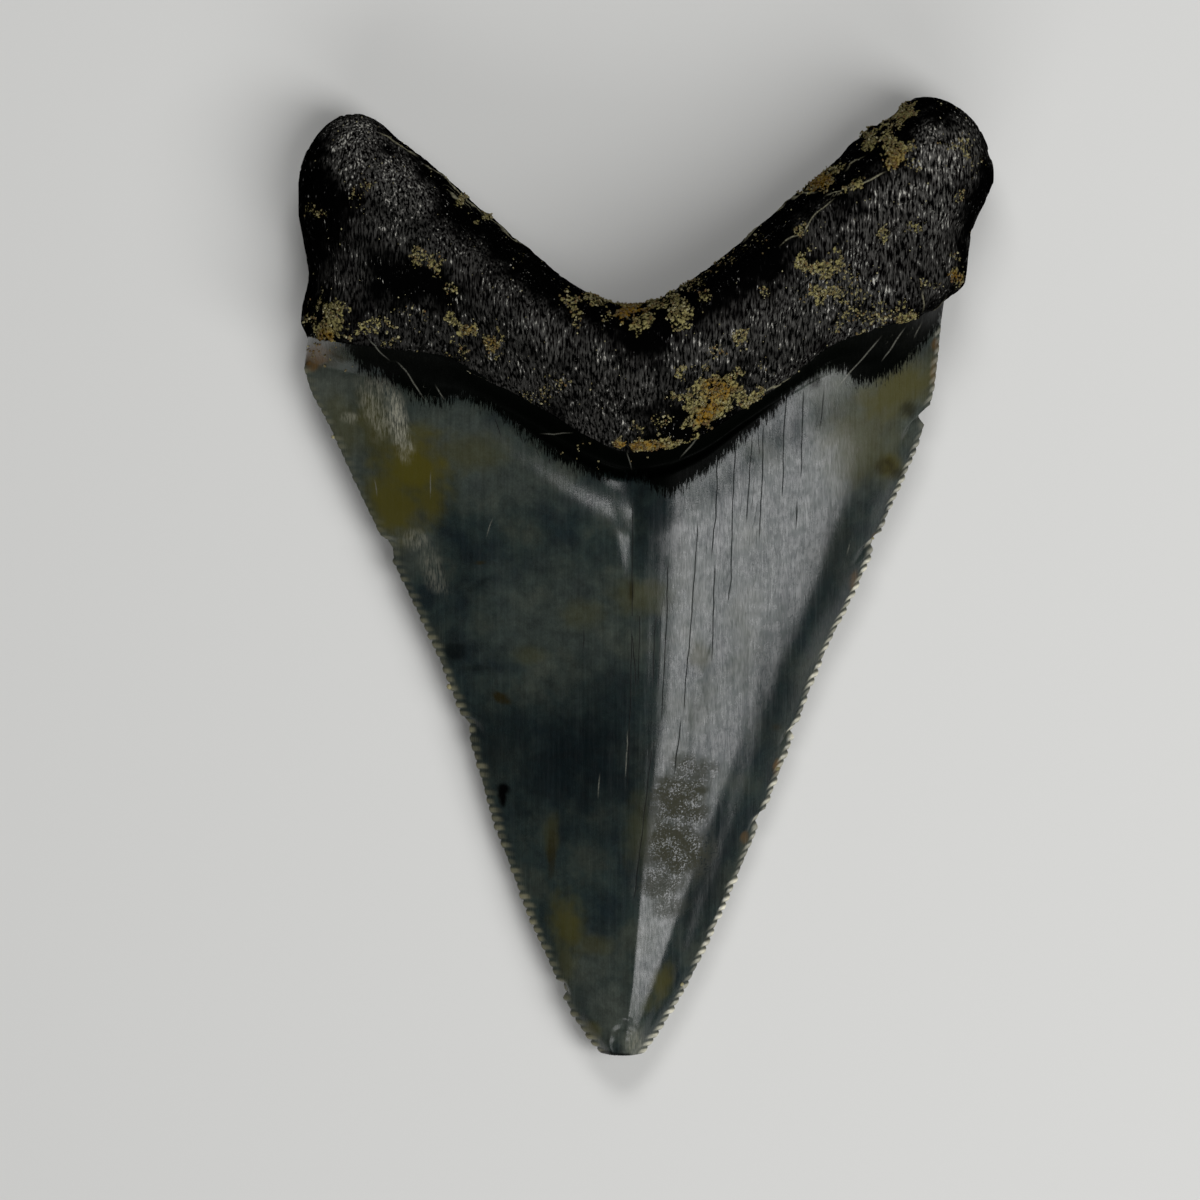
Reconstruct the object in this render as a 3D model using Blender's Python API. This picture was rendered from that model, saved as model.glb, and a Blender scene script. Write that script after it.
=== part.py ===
# Fossil shark tooth, lying on its lip side with the tongue side up.
# It is one grown piece: a serrated enamel crown, a narrow dental band and a two-lobed root.
# Frame: +Z up, +Y from the crown's tip to the root, +X to the right as seen from above.
# The origin is under the middle of the tooth, on the surface that it lies on.
# Outlines and heights are in millimetres and become metres where the mesh is shaped.
# In each zone of the surface, across runs from 0 at the left edge to 1 at the right edge,
# and up runs from 0 at the zone's border nearest the tip to 1 at its border nearest the root.

import math
from bisect import bisect_right

import bmesh
import bpy
from mathutils import Vector, noise

MM = 0.001

# Driving dimensions
ROOT_THICKNESS = 19.0       # at the middle of the root, its thickest place
LOBE_THICKNESS = 13.0       # at the two ends of the root
CROWN_THICKNESS = 12.9      # on the ridge, a few millimetres below the dental band
TIP_THICKNESS = 3.9         # at the broken tip
EDGE_THICKNESS = 0.36       # of the cutting edges
EDGE_HEIGHT_TIP = 2.0       # of the cutting edges above the lip side's flat, beside the tip
EDGE_HEIGHT_ROOT = 4.3      # and at the shoulders, where they meet the root
NECK_FALL = 1.5             # the crown rolls down this far into the dental band's groove
BAND_GROOVE = 0.7           # depth of the dental band's groove
LIP_SHARE = 0.83            # height of the root's lower lip, as a share of the root's height
ROOT_RIM_THICKNESS = 1.6    # of the root's outer rim
ROOT_RIM_HEIGHT = 5.4       # of the rim's middle, at the notch and the ends of the lobes
ROOT_SIDE_ROUNDING = 6.0    # the root rounds down over this width at its left and right sides
ROOT_LUMPS = 0.5            # height of the root's broad unevenness
LABIAL_STEP = 0.8           # the root's underside lies this much higher than the crown's
TIP_LIFT = 1.1              # the tip curves up from the surface by this much
TIP_LIFT_REACH = 0.35       # over this share of the crown's length
SERRATIONS = 82             # on each cutting edge, about 0.85 mm apart
SERRATION_DEPTH = 0.27
RIDGE_PLACE = 0.55          # of the crown's ridge, as a share of the way from left to right
FLAT_SHARE = 0.42           # of the crown's underside that is flat, from its ridge outwards

# Columns across the tooth, and rows up the dental band and up the root
LEFT_COLUMNS = 13
RIGHT_COLUMNS = 11
BAND_ROWS = (0.35, 0.7, 0.93)
ROOT_ROWS = (0.0, 0.05, 0.13, 0.22, 0.32, 0.42, 0.52, 0.62, 0.71, 0.79, 0.86, 0.92, 0.968, 1.0)

# Outline of the tooth, in millimetres. Each line runs upwards or from left to right.
TIP_LINE = [(-3.9, -43.9), (-2.2, -44.05), (-0.4, -43.9)]
LEFT_EDGE = [(-3.9, -43.9), (-5.2, -42.4), (-6.7, -40.2), (-8.7, -35.7), (-10.6, -31.4), (-12.4, -26.7),
             (-13.9, -22.6), (-16.3, -14.5), (-18.9, -7.6), (-22.5, 0.0), (-26.1, 7.4), (-29.5, 14.8),
             (-30.8, 17.2), (-31.4, 19.4)]
RIGHT_EDGE = [(-0.4, -43.9), (0.8, -42.3), (3.2, -38.4), (4.9, -35.2), (8.0, -28.3), (10.9, -21.4),
              (12.9, -16.1), (16.1, -7.6), (19.6, -0.3), (22.4, 6.4), (25.0, 12.4), (26.4, 17.2),
              (27.1, 23.2)]
LEFT_ROOT = [(-31.1, 22.0), (-31.7, 23.6), (-31.0, 28.0), (-31.4, 30.5), (-31.9, 33.3), (-31.8, 36.5),
             (-31.0, 39.3), (-29.5, 41.4), (-28.0, 42.3)]
RIGHT_ROOT = [(27.4, 25.3), (29.2, 26.9), (29.6, 29.3), (29.9, 31.9), (31.2, 34.5), (31.9, 36.5),
              (31.6, 38.5), (30.7, 40.9), (29.4, 42.5), (28.0, 43.4)]
NOTCH_LINE = [(-28.0, 42.3), (-26.3, 42.5), (-24.5, 41.8), (-22.4, 39.9), (-19.4, 37.6), (-13.6, 32.3),
              (-9.0, 28.5), (-6.1, 26.5), (-3.8, 25.3), (-1.3, 24.8), (1.3, 25.5), (4.5, 27.4),
              (10.9, 32.5), (17.1, 37.9), (19.9, 40.6), (22.7, 42.4), (24.3, 43.7), (25.9, 44.05),
              (28.0, 43.4)]

# Upper border of the enamel and lower lip of the root, on the tongue side and on the lip side
TONGUE_ENAMEL = [(-31.4, 19.4), (-28.6, 19.0), (-24.5, 17.8), (-19.9, 16.1), (-16.2, 16.3), (-12.5, 14.2),
                 (-7.9, 11.2), (-3.3, 8.9), (0.4, 8.7), (5.0, 10.6), (8.6, 13.3), (13.2, 16.5),
                 (17.4, 18.6), (20.6, 18.3), (23.8, 20.1), (27.1, 23.2)]
TONGUE_LIP = [(-31.1, 22.0), (-27.2, 21.2), (-22.6, 20.7), (-18.9, 20.0), (-15.3, 18.3), (-9.8, 15.4),
              (-5.2, 12.6), (-1.0, 11.1), (4.0, 12.3), (9.1, 15.4), (13.2, 18.3), (16.9, 21.0),
              (20.6, 22.5), (24.3, 23.5), (27.4, 25.3)]
LABIAL_ENAMEL = [(-31.4, 19.4), (-22.0, 19.9), (-12.0, 18.4), (-1.6, 16.0), (9.0, 18.9), (19.0, 21.6),
                 (27.1, 23.2)]
LABIAL_LIP = [(-31.1, 22.0), (-22.0, 21.2), (-12.0, 19.3), (-1.6, 16.8), (9.0, 19.8), (19.0, 22.8),
              (27.4, 25.3)]

# Chips out of the cutting edges: share of the edge from the tip, half length and depth in millimetres
LEFT_CHIPS = [(0.105, 0.9, 0.5), (0.475, 1.1, 0.45), (0.735, 1.3, 0.5)]
RIGHT_CHIPS = [(0.335, 0.9, 0.5), (0.455, 0.7, 0.4), (0.715, 0.9, 0.5), (0.885, 0.9, 0.9)]
CHIP_REACH = 0.06           # a chip fades out over this share of the way across

# The flake lost from the tip, in millimetres
TIP_SCAR = {"centre": (-2.3, -42.7), "half_width": 1.3, "half_length": 1.9, "depth": 0.55}


def smooth_curve(points):
    """The smooth line through the points, as a function of the share of its length."""
    knots = [Vector(point) for point in points]
    reach = [0.0]
    for start, end in zip(knots, knots[1:]):
        reach.append(reach[-1] + (end - start).length)
    slopes = []
    for index in range(len(knots)):
        before, after = max(index - 1, 0), min(index + 1, len(knots) - 1)
        slopes.append((knots[after] - knots[before]) / (reach[after] - reach[before]))

    def point_at(share):
        distance = share * reach[-1]
        index = min(bisect_right(reach, distance) - 1, len(knots) - 2)
        span = reach[index + 1] - reach[index]
        part = (distance - reach[index]) / span
        return (
            knots[index] * (2 * part**3 - 3 * part**2 + 1)
            + slopes[index] * span * (part**3 - 2 * part**2 + part)
            + knots[index + 1] * (3 * part**2 - 2 * part**3)
            + slopes[index + 1] * span * (part**3 - part**2)
        )

    return point_at


def patch_between(bottom, top, left, right):
    """The flat patch between four lines that meet at its corners."""

    def point_at(across, up):
        sideways = left(up) * (1 - across) + right(up) * across
        upwards = bottom(across) * (1 - up) + top(across) * up
        low = bottom(0) * (1 - across) + bottom(1) * across
        high = top(0) * (1 - across) + top(1) * across
        return sideways + upwards - (low * (1 - up) + high * up)

    return point_at


def strip_between(bottom, top):
    """The flat strip between two lines."""
    return lambda across, up: bottom(across) * (1 - up) + top(across) * up


def zones_between(enamel, lip):
    """The three zones of one side of the tooth, stacked from the tip to the notch."""
    left, right = smooth_curve(LEFT_EDGE), smooth_curve(RIGHT_EDGE)
    left_root, right_root = smooth_curve(LEFT_ROOT), smooth_curve(RIGHT_ROOT)
    return {
        "crown": patch_between(smooth_curve(TIP_LINE), enamel, left, right),
        "band": strip_between(enamel, lip),
        "root": patch_between(lip, smooth_curve(NOTCH_LINE), left_root, right_root),
    }


PLANS = {
    "tongue": zones_between(smooth_curve(TONGUE_ENAMEL), smooth_curve(TONGUE_LIP)),
    "labial": zones_between(smooth_curve(LABIAL_ENAMEL), smooth_curve(LABIAL_LIP)),
}


def ease(value):
    """Climbs from 0 to 1 with level ends."""
    value = min(max(value, 0.0), 1.0)
    return value * value * (3 - 2 * value)


def bulge(value, flatness=2.4, roundness=0.6):
    """Falls from 1 to 0, slowly and then ever faster, like the side of a pebble."""
    return (1 - min(max(value, 0.0), 1.0) ** flatness) ** roundness


def from_ridge(across):
    """0 on the crown's ridge and 1 at either cutting edge."""
    if across < RIDGE_PLACE:
        return (RIDGE_PLACE - across) / RIDGE_PLACE
    return (across - RIDGE_PLACE) / (1 - RIDGE_PLACE)


def tip_lift(up):
    return TIP_LIFT * ease(1 - up / TIP_LIFT_REACH)


def edge_height(up):
    """Height of the middle of the cutting edges above the surface that the tooth lies on."""
    return EDGE_HEIGHT_TIP + (EDGE_HEIGHT_ROOT - EDGE_HEIGHT_TIP) * up + tip_lift(up)


def tongue_crown(across, up):
    """A low roof: a flat left flank, a ridge and a rounder right flank."""
    away = from_ridge(across)
    tip_rise = TIP_THICKNESS - EDGE_HEIGHT_TIP
    rise = tip_rise + (CROWN_THICKNESS - EDGE_HEIGHT_ROOT - tip_rise) * up**0.88
    straight, turn = (0.60, 3.4) if across < RIDGE_PLACE else (0.42, 2.6)
    fall = straight * away**1.1 + (1 - straight) * away**turn
    neck = NECK_FALL * ease((up - 0.9) / 0.1) * (1 - fall)
    return edge_height(up) + EDGE_THICKNESS / 2 + rise * (1 - fall) - neck


def labial_crown(across, up):
    """Flat along the middle, where the tooth lies, and curving up to the edges and the tip."""
    beyond_flat = max(0.0, (from_ridge(across) - FLAT_SHARE) / (1 - FLAT_SHARE))
    climb = 2 * ease(beyond_flat / 2)
    return tip_lift(up) + (edge_height(up) - EDGE_THICKNESS / 2 - tip_lift(up)) * climb


def root_rim(up):
    """Heights of the lower and upper border of the root's rim."""
    middle = EDGE_HEIGHT_ROOT + (ROOT_RIM_HEIGHT - EDGE_HEIGHT_ROOT) * ease(up)
    half = (EDGE_THICKNESS + (ROOT_RIM_THICKNESS - EDGE_THICKNESS) * ease(up / 0.2)) / 2
    return middle - half, middle + half


def side_rounding(across, up, width):
    """Falls from 1 to 0 over this width at the root's left and right sides."""
    plan = PLANS["tongue"]["root"]
    inside = min(across, 1 - across) * (plan(1, up) - plan(0, up)).length
    return bulge(1 - inside / width)


def tongue_root(across, up):
    """Climbs from the lip to a crest, then falls steeply to the notch and the sides."""
    from_middle = 2 * across - 1
    middle_bulge = math.exp(-((from_middle / 0.5) ** 2))
    thickness = LOBE_THICKNESS + (ROOT_THICKNESS - LOBE_THICKNESS) * middle_bulge
    crest = 0.48 + 0.26 * ease((across - 0.3) / 0.22)
    if up < crest:
        share = LIP_SHARE + (1 - LIP_SHARE) * math.sin(0.5 * math.pi * up / crest)
    else:
        share = bulge((up - crest) / (1 - crest), 2.2, 0.66)
    rim = root_rim(up)[1]
    return rim + (thickness - rim) * share * side_rounding(across, up, ROOT_SIDE_ROUNDING)


def labial_root(across, up):
    step = LABIAL_STEP * (1 - 0.6 * ease(up / 0.6))
    edge = max(1 - side_rounding(across, up, ROOT_SIDE_ROUNDING - 1), ease((up - 0.55) / 0.45))
    return step + (root_rim(up)[0] - step) * edge


def tongue_band(across, up):
    """Dips into the groove, then climbs to the root's lip, sharply in the middle."""
    low, high = tongue_crown(across, 1), tongue_root(across, 0)
    middle = ease(1 - abs(2 * across - 1) / 0.55)
    climb = up ** (1.3 + 2.6 * middle)
    groove = BAND_GROOVE * math.sin(math.pi * up) * ease(min(across, 1 - across) / 0.12)
    return low + (high - low) * climb - groove


def labial_band(across, up):
    low, high = labial_crown(across, 1), labial_root(across, 0)
    return low + (high - low) * ease(up)


HEIGHTS = {
    "tongue": {"crown": tongue_crown, "band": tongue_band, "root": tongue_root},
    "labial": {"crown": labial_crown, "band": labial_band, "root": labial_root},
}


def chip_depth(up, chips, edge_length):
    """How far the cutting edge is chipped back here."""
    depths = [depth * bulge(abs(up - place) * edge_length / half, 2, 1) for place, half, depth in chips]
    return sum(depths)


def scar_depth(point):
    """Depth of the flake lost from the tip."""
    sideways = (point.x - TIP_SCAR["centre"][0]) / TIP_SCAR["half_width"]
    upwards = (point.y - TIP_SCAR["centre"][1]) / TIP_SCAR["half_length"]
    return TIP_SCAR["depth"] * ease((1.25 - math.hypot(sideways, upwards)) / 0.6)


def surface_point(side, zone, across, up):
    """A point of the tooth's surface, in millimetres."""
    flat = PLANS[side][zone](across, up)
    height = HEIGHTS[side][zone](across, up)
    if zone == "crown":
        left, right = PLANS["tongue"]["crown"](0, up), PLANS["tongue"]["crown"](1, up)
        inward = (right - left).normalized()
        flat = flat + inward * chip_depth(up, LEFT_CHIPS, 69.0) * ease(1 - across / CHIP_REACH)
        flat = flat - inward * chip_depth(up, RIGHT_CHIPS, 72.0) * ease(1 - (1 - across) / CHIP_REACH)
        if side == "tongue":
            height -= scar_depth(flat)
    if zone == "root" and side == "tongue":
        lumps = ROOT_LUMPS * noise.noise(Vector((flat.x, flat.y, 3.0)) / 6.0)
        height += lumps * side_rounding(across, up, ROOT_SIDE_ROUNDING) * ease((1 - up) / 0.2)
    return Vector((flat.x, flat.y, height))


def row_places():
    """Zone and share of each row of points, from the tip to the notch."""
    rows = [("crown", index / SERRATIONS) for index in range(SERRATIONS + 1)]
    rows += [("band", up) for up in BAND_ROWS]
    rows += [("root", up) for up in ROOT_ROWS]
    return rows


def column_places():
    """Share across the tooth of each column: one on the ridge, and closer together near the edges."""

    def spread(even):
        return 0.5 * even + 0.5 * math.sin(0.5 * math.pi * even)

    left = [RIDGE_PLACE * (1 - spread(index / LEFT_COLUMNS)) for index in range(LEFT_COLUMNS, 0, -1)]
    right_share = 1 - RIDGE_PLACE
    right = [RIDGE_PLACE + right_share * spread(index / RIGHT_COLUMNS) for index in range(RIGHT_COLUMNS + 1)]
    return left + right


def shape_sides(bm, rows, columns):
    """Shapes a flat grid and its extruded copy into the two sides, and returns the cutting edges."""
    last_column, last_row = len(columns) - 1, len(rows) - 1

    def grid_place(vert):
        return round((vert.co.x + 1) / 2 * last_column), round((vert.co.y + 1) / 2 * last_row)

    bmesh.ops.create_grid(bm, x_segments=last_column, y_segments=last_row, size=1.0)
    labial = set(bm.verts)
    bmesh.ops.extrude_face_region(bm, geom=bm.faces[:])
    places = {vert: grid_place(vert) for vert in bm.verts}
    for vert, (column, row) in places.items():
        side = "labial" if vert in labial else "tongue"
        zone, up = rows[row]
        vert.co = surface_point(side, zone, columns[column], up)
    cutting_edges = {"left": [], "right": []}
    for edge in bm.edges:
        (column, row), (other_column, other_row) = places[edge.verts[0]], places[edge.verts[1]]
        if row == other_row or max(row, other_row) > SERRATIONS:
            continue
        if column == other_column == 0:
            cutting_edges["left"].append(edge)
        if column == other_column == last_column:
            cutting_edges["right"].append(edge)
    return cutting_edges


def cut_serrations(bm, cutting_edges):
    """Raises one small point between each two rows of both cutting edges."""
    for side, sign in (("left", -1), ("right", 1)):
        outward = Vector((sign, -0.38, 0.0)).normalized()
        made = bmesh.ops.subdivide_edges(bm, edges=cutting_edges[side], cuts=1)["geom_inner"]
        for vert in [item for item in made if isinstance(item, bmesh.types.BMVert)]:
            wear = 0.75 + 0.5 * noise.noise(vert.co / 3.0)
            vert.co += outward * SERRATION_DEPTH * wear


def make_material(name, colour, roughness):
    material = bpy.data.materials.new(name)
    material.use_nodes = True
    shader = material.node_tree.nodes["Principled BSDF"]
    shader.inputs["Base Color"].default_value = (*colour, 1.0)
    shader.inputs["Roughness"].default_value = roughness
    shader.inputs["Metallic"].default_value = 0.0
    return material


def in_root(point, lip):
    """Whether a point lies above the root's lower lip, as seen from the tongue side."""
    start, end = lip(0), lip(1)
    share = (point.x - start.x) / (end.x - start.x)
    return point.y > lip(min(max(share, 0.0), 1.0)).y


def build_tooth():
    """Shapes the tooth, centres it over the origin and sets it down on its flat."""
    bm = bmesh.new()
    cutting_edges = shape_sides(bm, row_places(), column_places())
    cut_serrations(bm, cutting_edges)
    bmesh.ops.recalc_face_normals(bm, faces=bm.faces[:])
    lip = smooth_curve(TONGUE_LIP)
    for face in bm.faces:
        face.material_index = int(in_root(face.calc_center_median(), lip))
    low = Vector(min(vert.co[axis] for vert in bm.verts) for axis in range(3))
    high = Vector(max(vert.co[axis] for vert in bm.verts) for axis in range(3))
    foot = Vector(((low.x + high.x) / 2, (low.y + high.y) / 2, low.z))
    for vert in bm.verts:
        vert.co = (vert.co - foot) * MM
    mesh = bpy.data.meshes.new("tooth")
    mesh.materials.append(make_material("slate_enamel", (0.045, 0.056, 0.058), 0.38))
    mesh.materials.append(make_material("black_root", (0.012, 0.011, 0.010), 0.62))
    bm.to_mesh(mesh)
    bm.free()
    mesh.shade_smooth()
    mesh.set_sharp_from_angle(angle=math.radians(40))
    tooth = bpy.data.objects.new("tooth", mesh)
    collection = bpy.data.collections.new("fossil_shark_tooth")
    bpy.context.scene.collection.children.link(collection)
    collection.objects.link(tooth)
    print("tooth in mm:", [round(length, 2) for length in high - low])


for old_object in list(bpy.data.objects):
    bpy.data.objects.remove(old_object, do_unlink=True)
build_tooth()
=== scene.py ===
import math

import bmesh
import bpy
import numpy as np
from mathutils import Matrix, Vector, noise


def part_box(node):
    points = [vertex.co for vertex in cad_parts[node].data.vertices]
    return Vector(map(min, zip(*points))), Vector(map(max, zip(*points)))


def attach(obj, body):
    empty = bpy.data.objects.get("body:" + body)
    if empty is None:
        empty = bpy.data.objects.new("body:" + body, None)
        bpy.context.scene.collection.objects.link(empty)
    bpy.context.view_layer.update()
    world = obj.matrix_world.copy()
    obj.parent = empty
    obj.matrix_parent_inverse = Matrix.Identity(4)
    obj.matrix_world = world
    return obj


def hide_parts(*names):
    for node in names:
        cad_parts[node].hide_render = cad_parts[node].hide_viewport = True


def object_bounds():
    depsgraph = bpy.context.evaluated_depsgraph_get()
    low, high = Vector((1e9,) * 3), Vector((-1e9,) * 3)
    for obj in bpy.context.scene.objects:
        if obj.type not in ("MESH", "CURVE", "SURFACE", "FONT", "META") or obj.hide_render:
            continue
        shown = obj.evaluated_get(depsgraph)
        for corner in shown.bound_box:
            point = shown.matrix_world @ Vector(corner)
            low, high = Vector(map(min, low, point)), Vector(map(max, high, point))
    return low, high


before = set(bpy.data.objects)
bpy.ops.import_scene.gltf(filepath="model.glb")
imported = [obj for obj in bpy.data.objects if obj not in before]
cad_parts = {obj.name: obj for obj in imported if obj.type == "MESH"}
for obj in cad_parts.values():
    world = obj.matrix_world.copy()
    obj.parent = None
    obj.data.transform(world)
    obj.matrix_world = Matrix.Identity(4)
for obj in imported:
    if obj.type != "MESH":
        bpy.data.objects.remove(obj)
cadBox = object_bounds()
print("frame loaded, CAD box in metres:", [[round(v, 4) for v in corner] for corner in cadBox])

mm = 0.001  # outlines, reliefs and marks are in millimetres, objects in metres
boxMargin = 0.002  # mm that the fine surfaces stay inside the CAD box

# Places on the tooth are read off the photograph and turned to millimetres from the outline's origin.
photo = {"pixelsPerMm": 10.875, "originX": 646, "originY": 577, "middle": 600, "width": 1200}


def photoPoint(px, py):
    return np.array([(px - photo["originX"]), (photo["originY"] - py)]) / photo["pixelsPerMm"]


# The main shape, the same as the CAD solid's
toothShape = {
    "rootThickness": 19.0, "lobeThickness": 13.0, "crownThickness": 12.9, "tipThickness": 3.9,
    "edgeThickness": 0.36, "edgeHeightTip": 2.0, "edgeHeightRoot": 4.3, "neckFall": 1.5,
    "bandGroove": 0.7, "lipShare": 0.83, "rimThickness": 1.6, "rimHeight": 5.4, "sideRounding": 6.0,
    "lumps": 0.5, "labialStep": 0.8, "tipLift": 1.1, "tipLiftReach": 0.35, "serrations": 82,
    "serrationDepth": 0.27, "ridgePlace": 0.54, "flatShare": 0.42,
    "leftEdgeLength": 69.0, "rightEdgeLength": 72.0,
}
outline = {
    "tip": [(-3.9, -43.9), (-2.2, -44.05), (-0.4, -43.9)],
    "leftEdge": [(-3.9, -43.9), (-5.2, -42.4), (-6.7, -40.2), (-8.7, -35.7), (-10.6, -31.4), (-12.4, -26.7),
                 (-13.9, -22.6), (-16.3, -14.5), (-18.9, -7.6), (-22.5, 0.0), (-26.1, 7.4), (-29.5, 14.8),
                 (-30.8, 17.2), (-31.4, 19.4)],
    "rightEdge": [(-0.4, -43.9), (0.8, -42.3), (3.2, -38.4), (4.9, -35.2), (8.0, -28.3), (10.9, -21.4),
                  (12.9, -16.1), (16.1, -7.6), (19.6, -0.3), (22.4, 6.4), (25.0, 12.4), (26.4, 17.2),
                  (27.1, 23.2)],
    "leftRoot": [(-31.1, 22.0), (-31.7, 23.6), (-31.0, 28.0), (-31.4, 30.5), (-31.9, 33.3), (-31.8, 36.5),
                 (-31.0, 39.3), (-29.5, 41.4), (-28.0, 42.3)],
    "rightRoot": [(27.4, 25.3), (29.2, 26.9), (29.6, 29.3), (29.9, 31.9), (31.2, 34.5), (31.9, 36.5),
                  (31.6, 38.5), (30.7, 40.9), (29.4, 42.5), (28.0, 43.4)],
    "notch": [(-28.0, 42.3), (-26.3, 42.5), (-24.5, 41.8), (-22.4, 39.9), (-19.4, 37.6), (-13.6, 32.3),
              (-9.0, 28.5), (-6.1, 26.5), (-3.8, 25.3), (-1.3, 24.8), (1.3, 25.5), (4.5, 27.4),
              (10.9, 32.5), (17.1, 37.9), (19.9, 40.6), (22.7, 42.4), (24.3, 43.7), (25.9, 44.05),
              (28.0, 43.4)],
    "tongueEnamel": [(-31.4, 19.4), (-28.6, 19.0), (-24.5, 17.8), (-19.9, 16.1), (-16.2, 16.3), (-12.5, 14.2),
                     (-7.9, 11.2), (-3.3, 8.9), (0.4, 8.7), (5.0, 10.6), (8.6, 13.3), (13.2, 16.5),
                     (17.4, 18.6), (20.6, 18.3), (23.8, 20.1), (27.1, 23.2)],
    "tongueLip": [(-31.1, 22.0), (-27.2, 21.2), (-22.6, 20.7), (-18.9, 20.0), (-15.3, 18.3), (-9.8, 15.4),
                  (-5.2, 12.6), (-1.0, 11.1), (4.0, 12.3), (9.1, 15.4), (13.2, 18.3), (16.9, 21.0),
                  (20.6, 22.5), (24.3, 23.5), (27.4, 25.3)],
    "labialEnamel": [(-31.4, 19.4), (-22.0, 19.9), (-12.0, 18.4), (-1.6, 16.0), (9.0, 18.9), (19.0, 21.6),
                     (27.1, 23.2)],
    "labialLip": [(-31.1, 22.0), (-22.0, 21.2), (-12.0, 19.3), (-1.6, 16.8), (9.0, 19.8), (19.0, 22.8),
                  (27.4, 25.3)],
}
# Chips out of the cutting edges: share of the edge from the tip, half length and depth in mm
chips = {
    "left": [(0.105, 0.9, 0.5), (0.475, 1.1, 0.45), (0.735, 1.3, 0.5)],
    "right": [(0.335, 0.9, 0.5), (0.455, 0.7, 0.4), (0.715, 0.9, 0.5), (0.885, 0.9, 0.9)],
}
tipScar = {
    "centre": (-2.0, -42.9), "halfWidth": 1.15, "halfLength": 1.9, "depth": 0.18,
    "ripple": 0.008, "rippleMm": 0.8, "ragged": 0.2, "raggedMm": 0.9, "soft": 0.55,
}


def ease(value):
    value = np.clip(value, 0.0, 1.0)
    return value * value * (3 - 2 * value)


def bulge(value, flatness=2.4, roundness=0.6):
    return (1 - np.clip(value, 0.0, 1.0) ** flatness) ** roundness


def noiseAt(points, size, seed=0.0):
    # Smooth noise from about -0.7 to 0.7, with features about `size` mm long on each axis
    scaled = points / np.array(size) + seed * 13.7
    values = [noise.noise(Vector(place)) for place in scaled.reshape(-1, 3).tolist()]
    return np.array(values).reshape(points.shape[:-1])


def curveThrough(points):
    knots = np.array(points)
    reach = np.concatenate([[0.0], np.cumsum(np.linalg.norm(np.diff(knots, axis=0), axis=1))])
    order = np.arange(len(knots))
    before, after = np.maximum(order - 1, 0), np.minimum(order + 1, len(knots) - 1)
    slopes = (knots[after] - knots[before]) / (reach[after] - reach[before])[:, None]

    def pointsAt(share):
        distance = np.clip(share, 0.0, 1.0) * reach[-1]
        index = np.clip(np.searchsorted(reach, distance, side="right") - 1, 0, len(knots) - 2)
        span = (reach[index + 1] - reach[index])[..., None]
        part = (distance - reach[index])[..., None] / span
        return (
            knots[index] * (2 * part**3 - 3 * part**2 + 1)
            + slopes[index] * span * (part**3 - 2 * part**2 + part)
            + knots[index + 1] * (3 * part**2 - 2 * part**3)
            + slopes[index + 1] * span * (part**3 - part**2)
        )

    return pointsAt


def patchBetween(bottom, top, left, right):
    lowLeft, lowRight = bottom(np.array(0.0)), bottom(np.array(1.0))
    highLeft, highRight = top(np.array(0.0)), top(np.array(1.0))

    def pointsAt(across, up):
        a, u = across[..., None], up[..., None]
        sideways = left(up) * (1 - a) + right(up) * a
        upwards = bottom(across) * (1 - u) + top(across) * u
        low, high = lowLeft * (1 - a) + lowRight * a, highLeft * (1 - a) + highRight * a
        return sideways + upwards - (low * (1 - u) + high * u)

    return pointsAt


def stripBetween(bottom, top):
    return lambda across, up: bottom(across) * (1 - up[..., None]) + top(across) * up[..., None]


line = {name: curveThrough(points) for name, points in outline.items()}
plans = {}
for side in ("tongue", "labial"):
    enamelLine, lipLine = line[side + "Enamel"], line[side + "Lip"]
    plans[side] = {
        "crown": patchBetween(line["tip"], enamelLine, line["leftEdge"], line["rightEdge"]),
        "band": stripBetween(enamelLine, lipLine),
        "root": patchBetween(lipLine, line["notch"], line["leftRoot"], line["rightRoot"]),
    }


def widthOf(plan, up):
    return np.linalg.norm(plan(np.ones_like(up), up) - plan(np.zeros_like(up), up), axis=-1)


# Crown: enamel and the dental band, one skin from the tip to just under the root's lip
crownSkin = {
    "rowsPerSerration": 6,
    "edgeColumns": (0.0, 0.07, 0.16, 0.28, 0.42, 0.58, 0.76, 0.96, 1.2),  # mm in from each cutting edge
    "middleColumns": {"tongue": 120, "labial": 24},
    "bandRows": 16,
    "tuckUnderLip": 0.7,         # mm that the band runs on under the root's lip
    "tuckDown": 0.35,            # mm that it goes into the tooth there
    "ridgeRounding": 0.09,       # share of the half width
    "rightNeck": 0.35,           # share of the neck's fall that is left on the right flank
    "bevelStart": (0.34, 0.62),  # where the right flank turns down at the tip and the neck, share of its width
    "bevelSoft": 0.07,           # how softly it turns, share of its width
    "rightSlope": (0.50, 0.68),  # how steep it is before that, 1 for an even fall
    "serrationSlant": 0.38,      # how far the serrations point to the tip for each mm outward
    "serrationReach": 0.5,       # mm in from the edge that they bend it
    "serrationPower": 0.55,      # below 1 for full lobes with narrow gaps
    "wear": (0.25, 1.0),         # share of its height that is left of a serration
    "wornAbove": {"left": 0.62, "right": 0.78},  # share of the edge from the tip where they get lower
    "ribHeight": 0.07,           # mm, the ribs that run in from the serrations; twice that on the right
    "ribLength": 0.9,            # mm
    "ribSpread": (0.5, 1.1),     # share of that length that a rib has
    "swell": 0.05,               # mm, broad unevenness that breaks up the sheen
    "swellMm": (5.0, 8.0, 25.0), "smallSwellMm": (1.7, 3.4, 10.0),
    "growthLines": 0.018,        # mm, fine ribs along the crown
    "growthLinesMm": (0.8, 14.0, 10.0),
    "crackDepth": 0.05,          # mm
}
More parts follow.
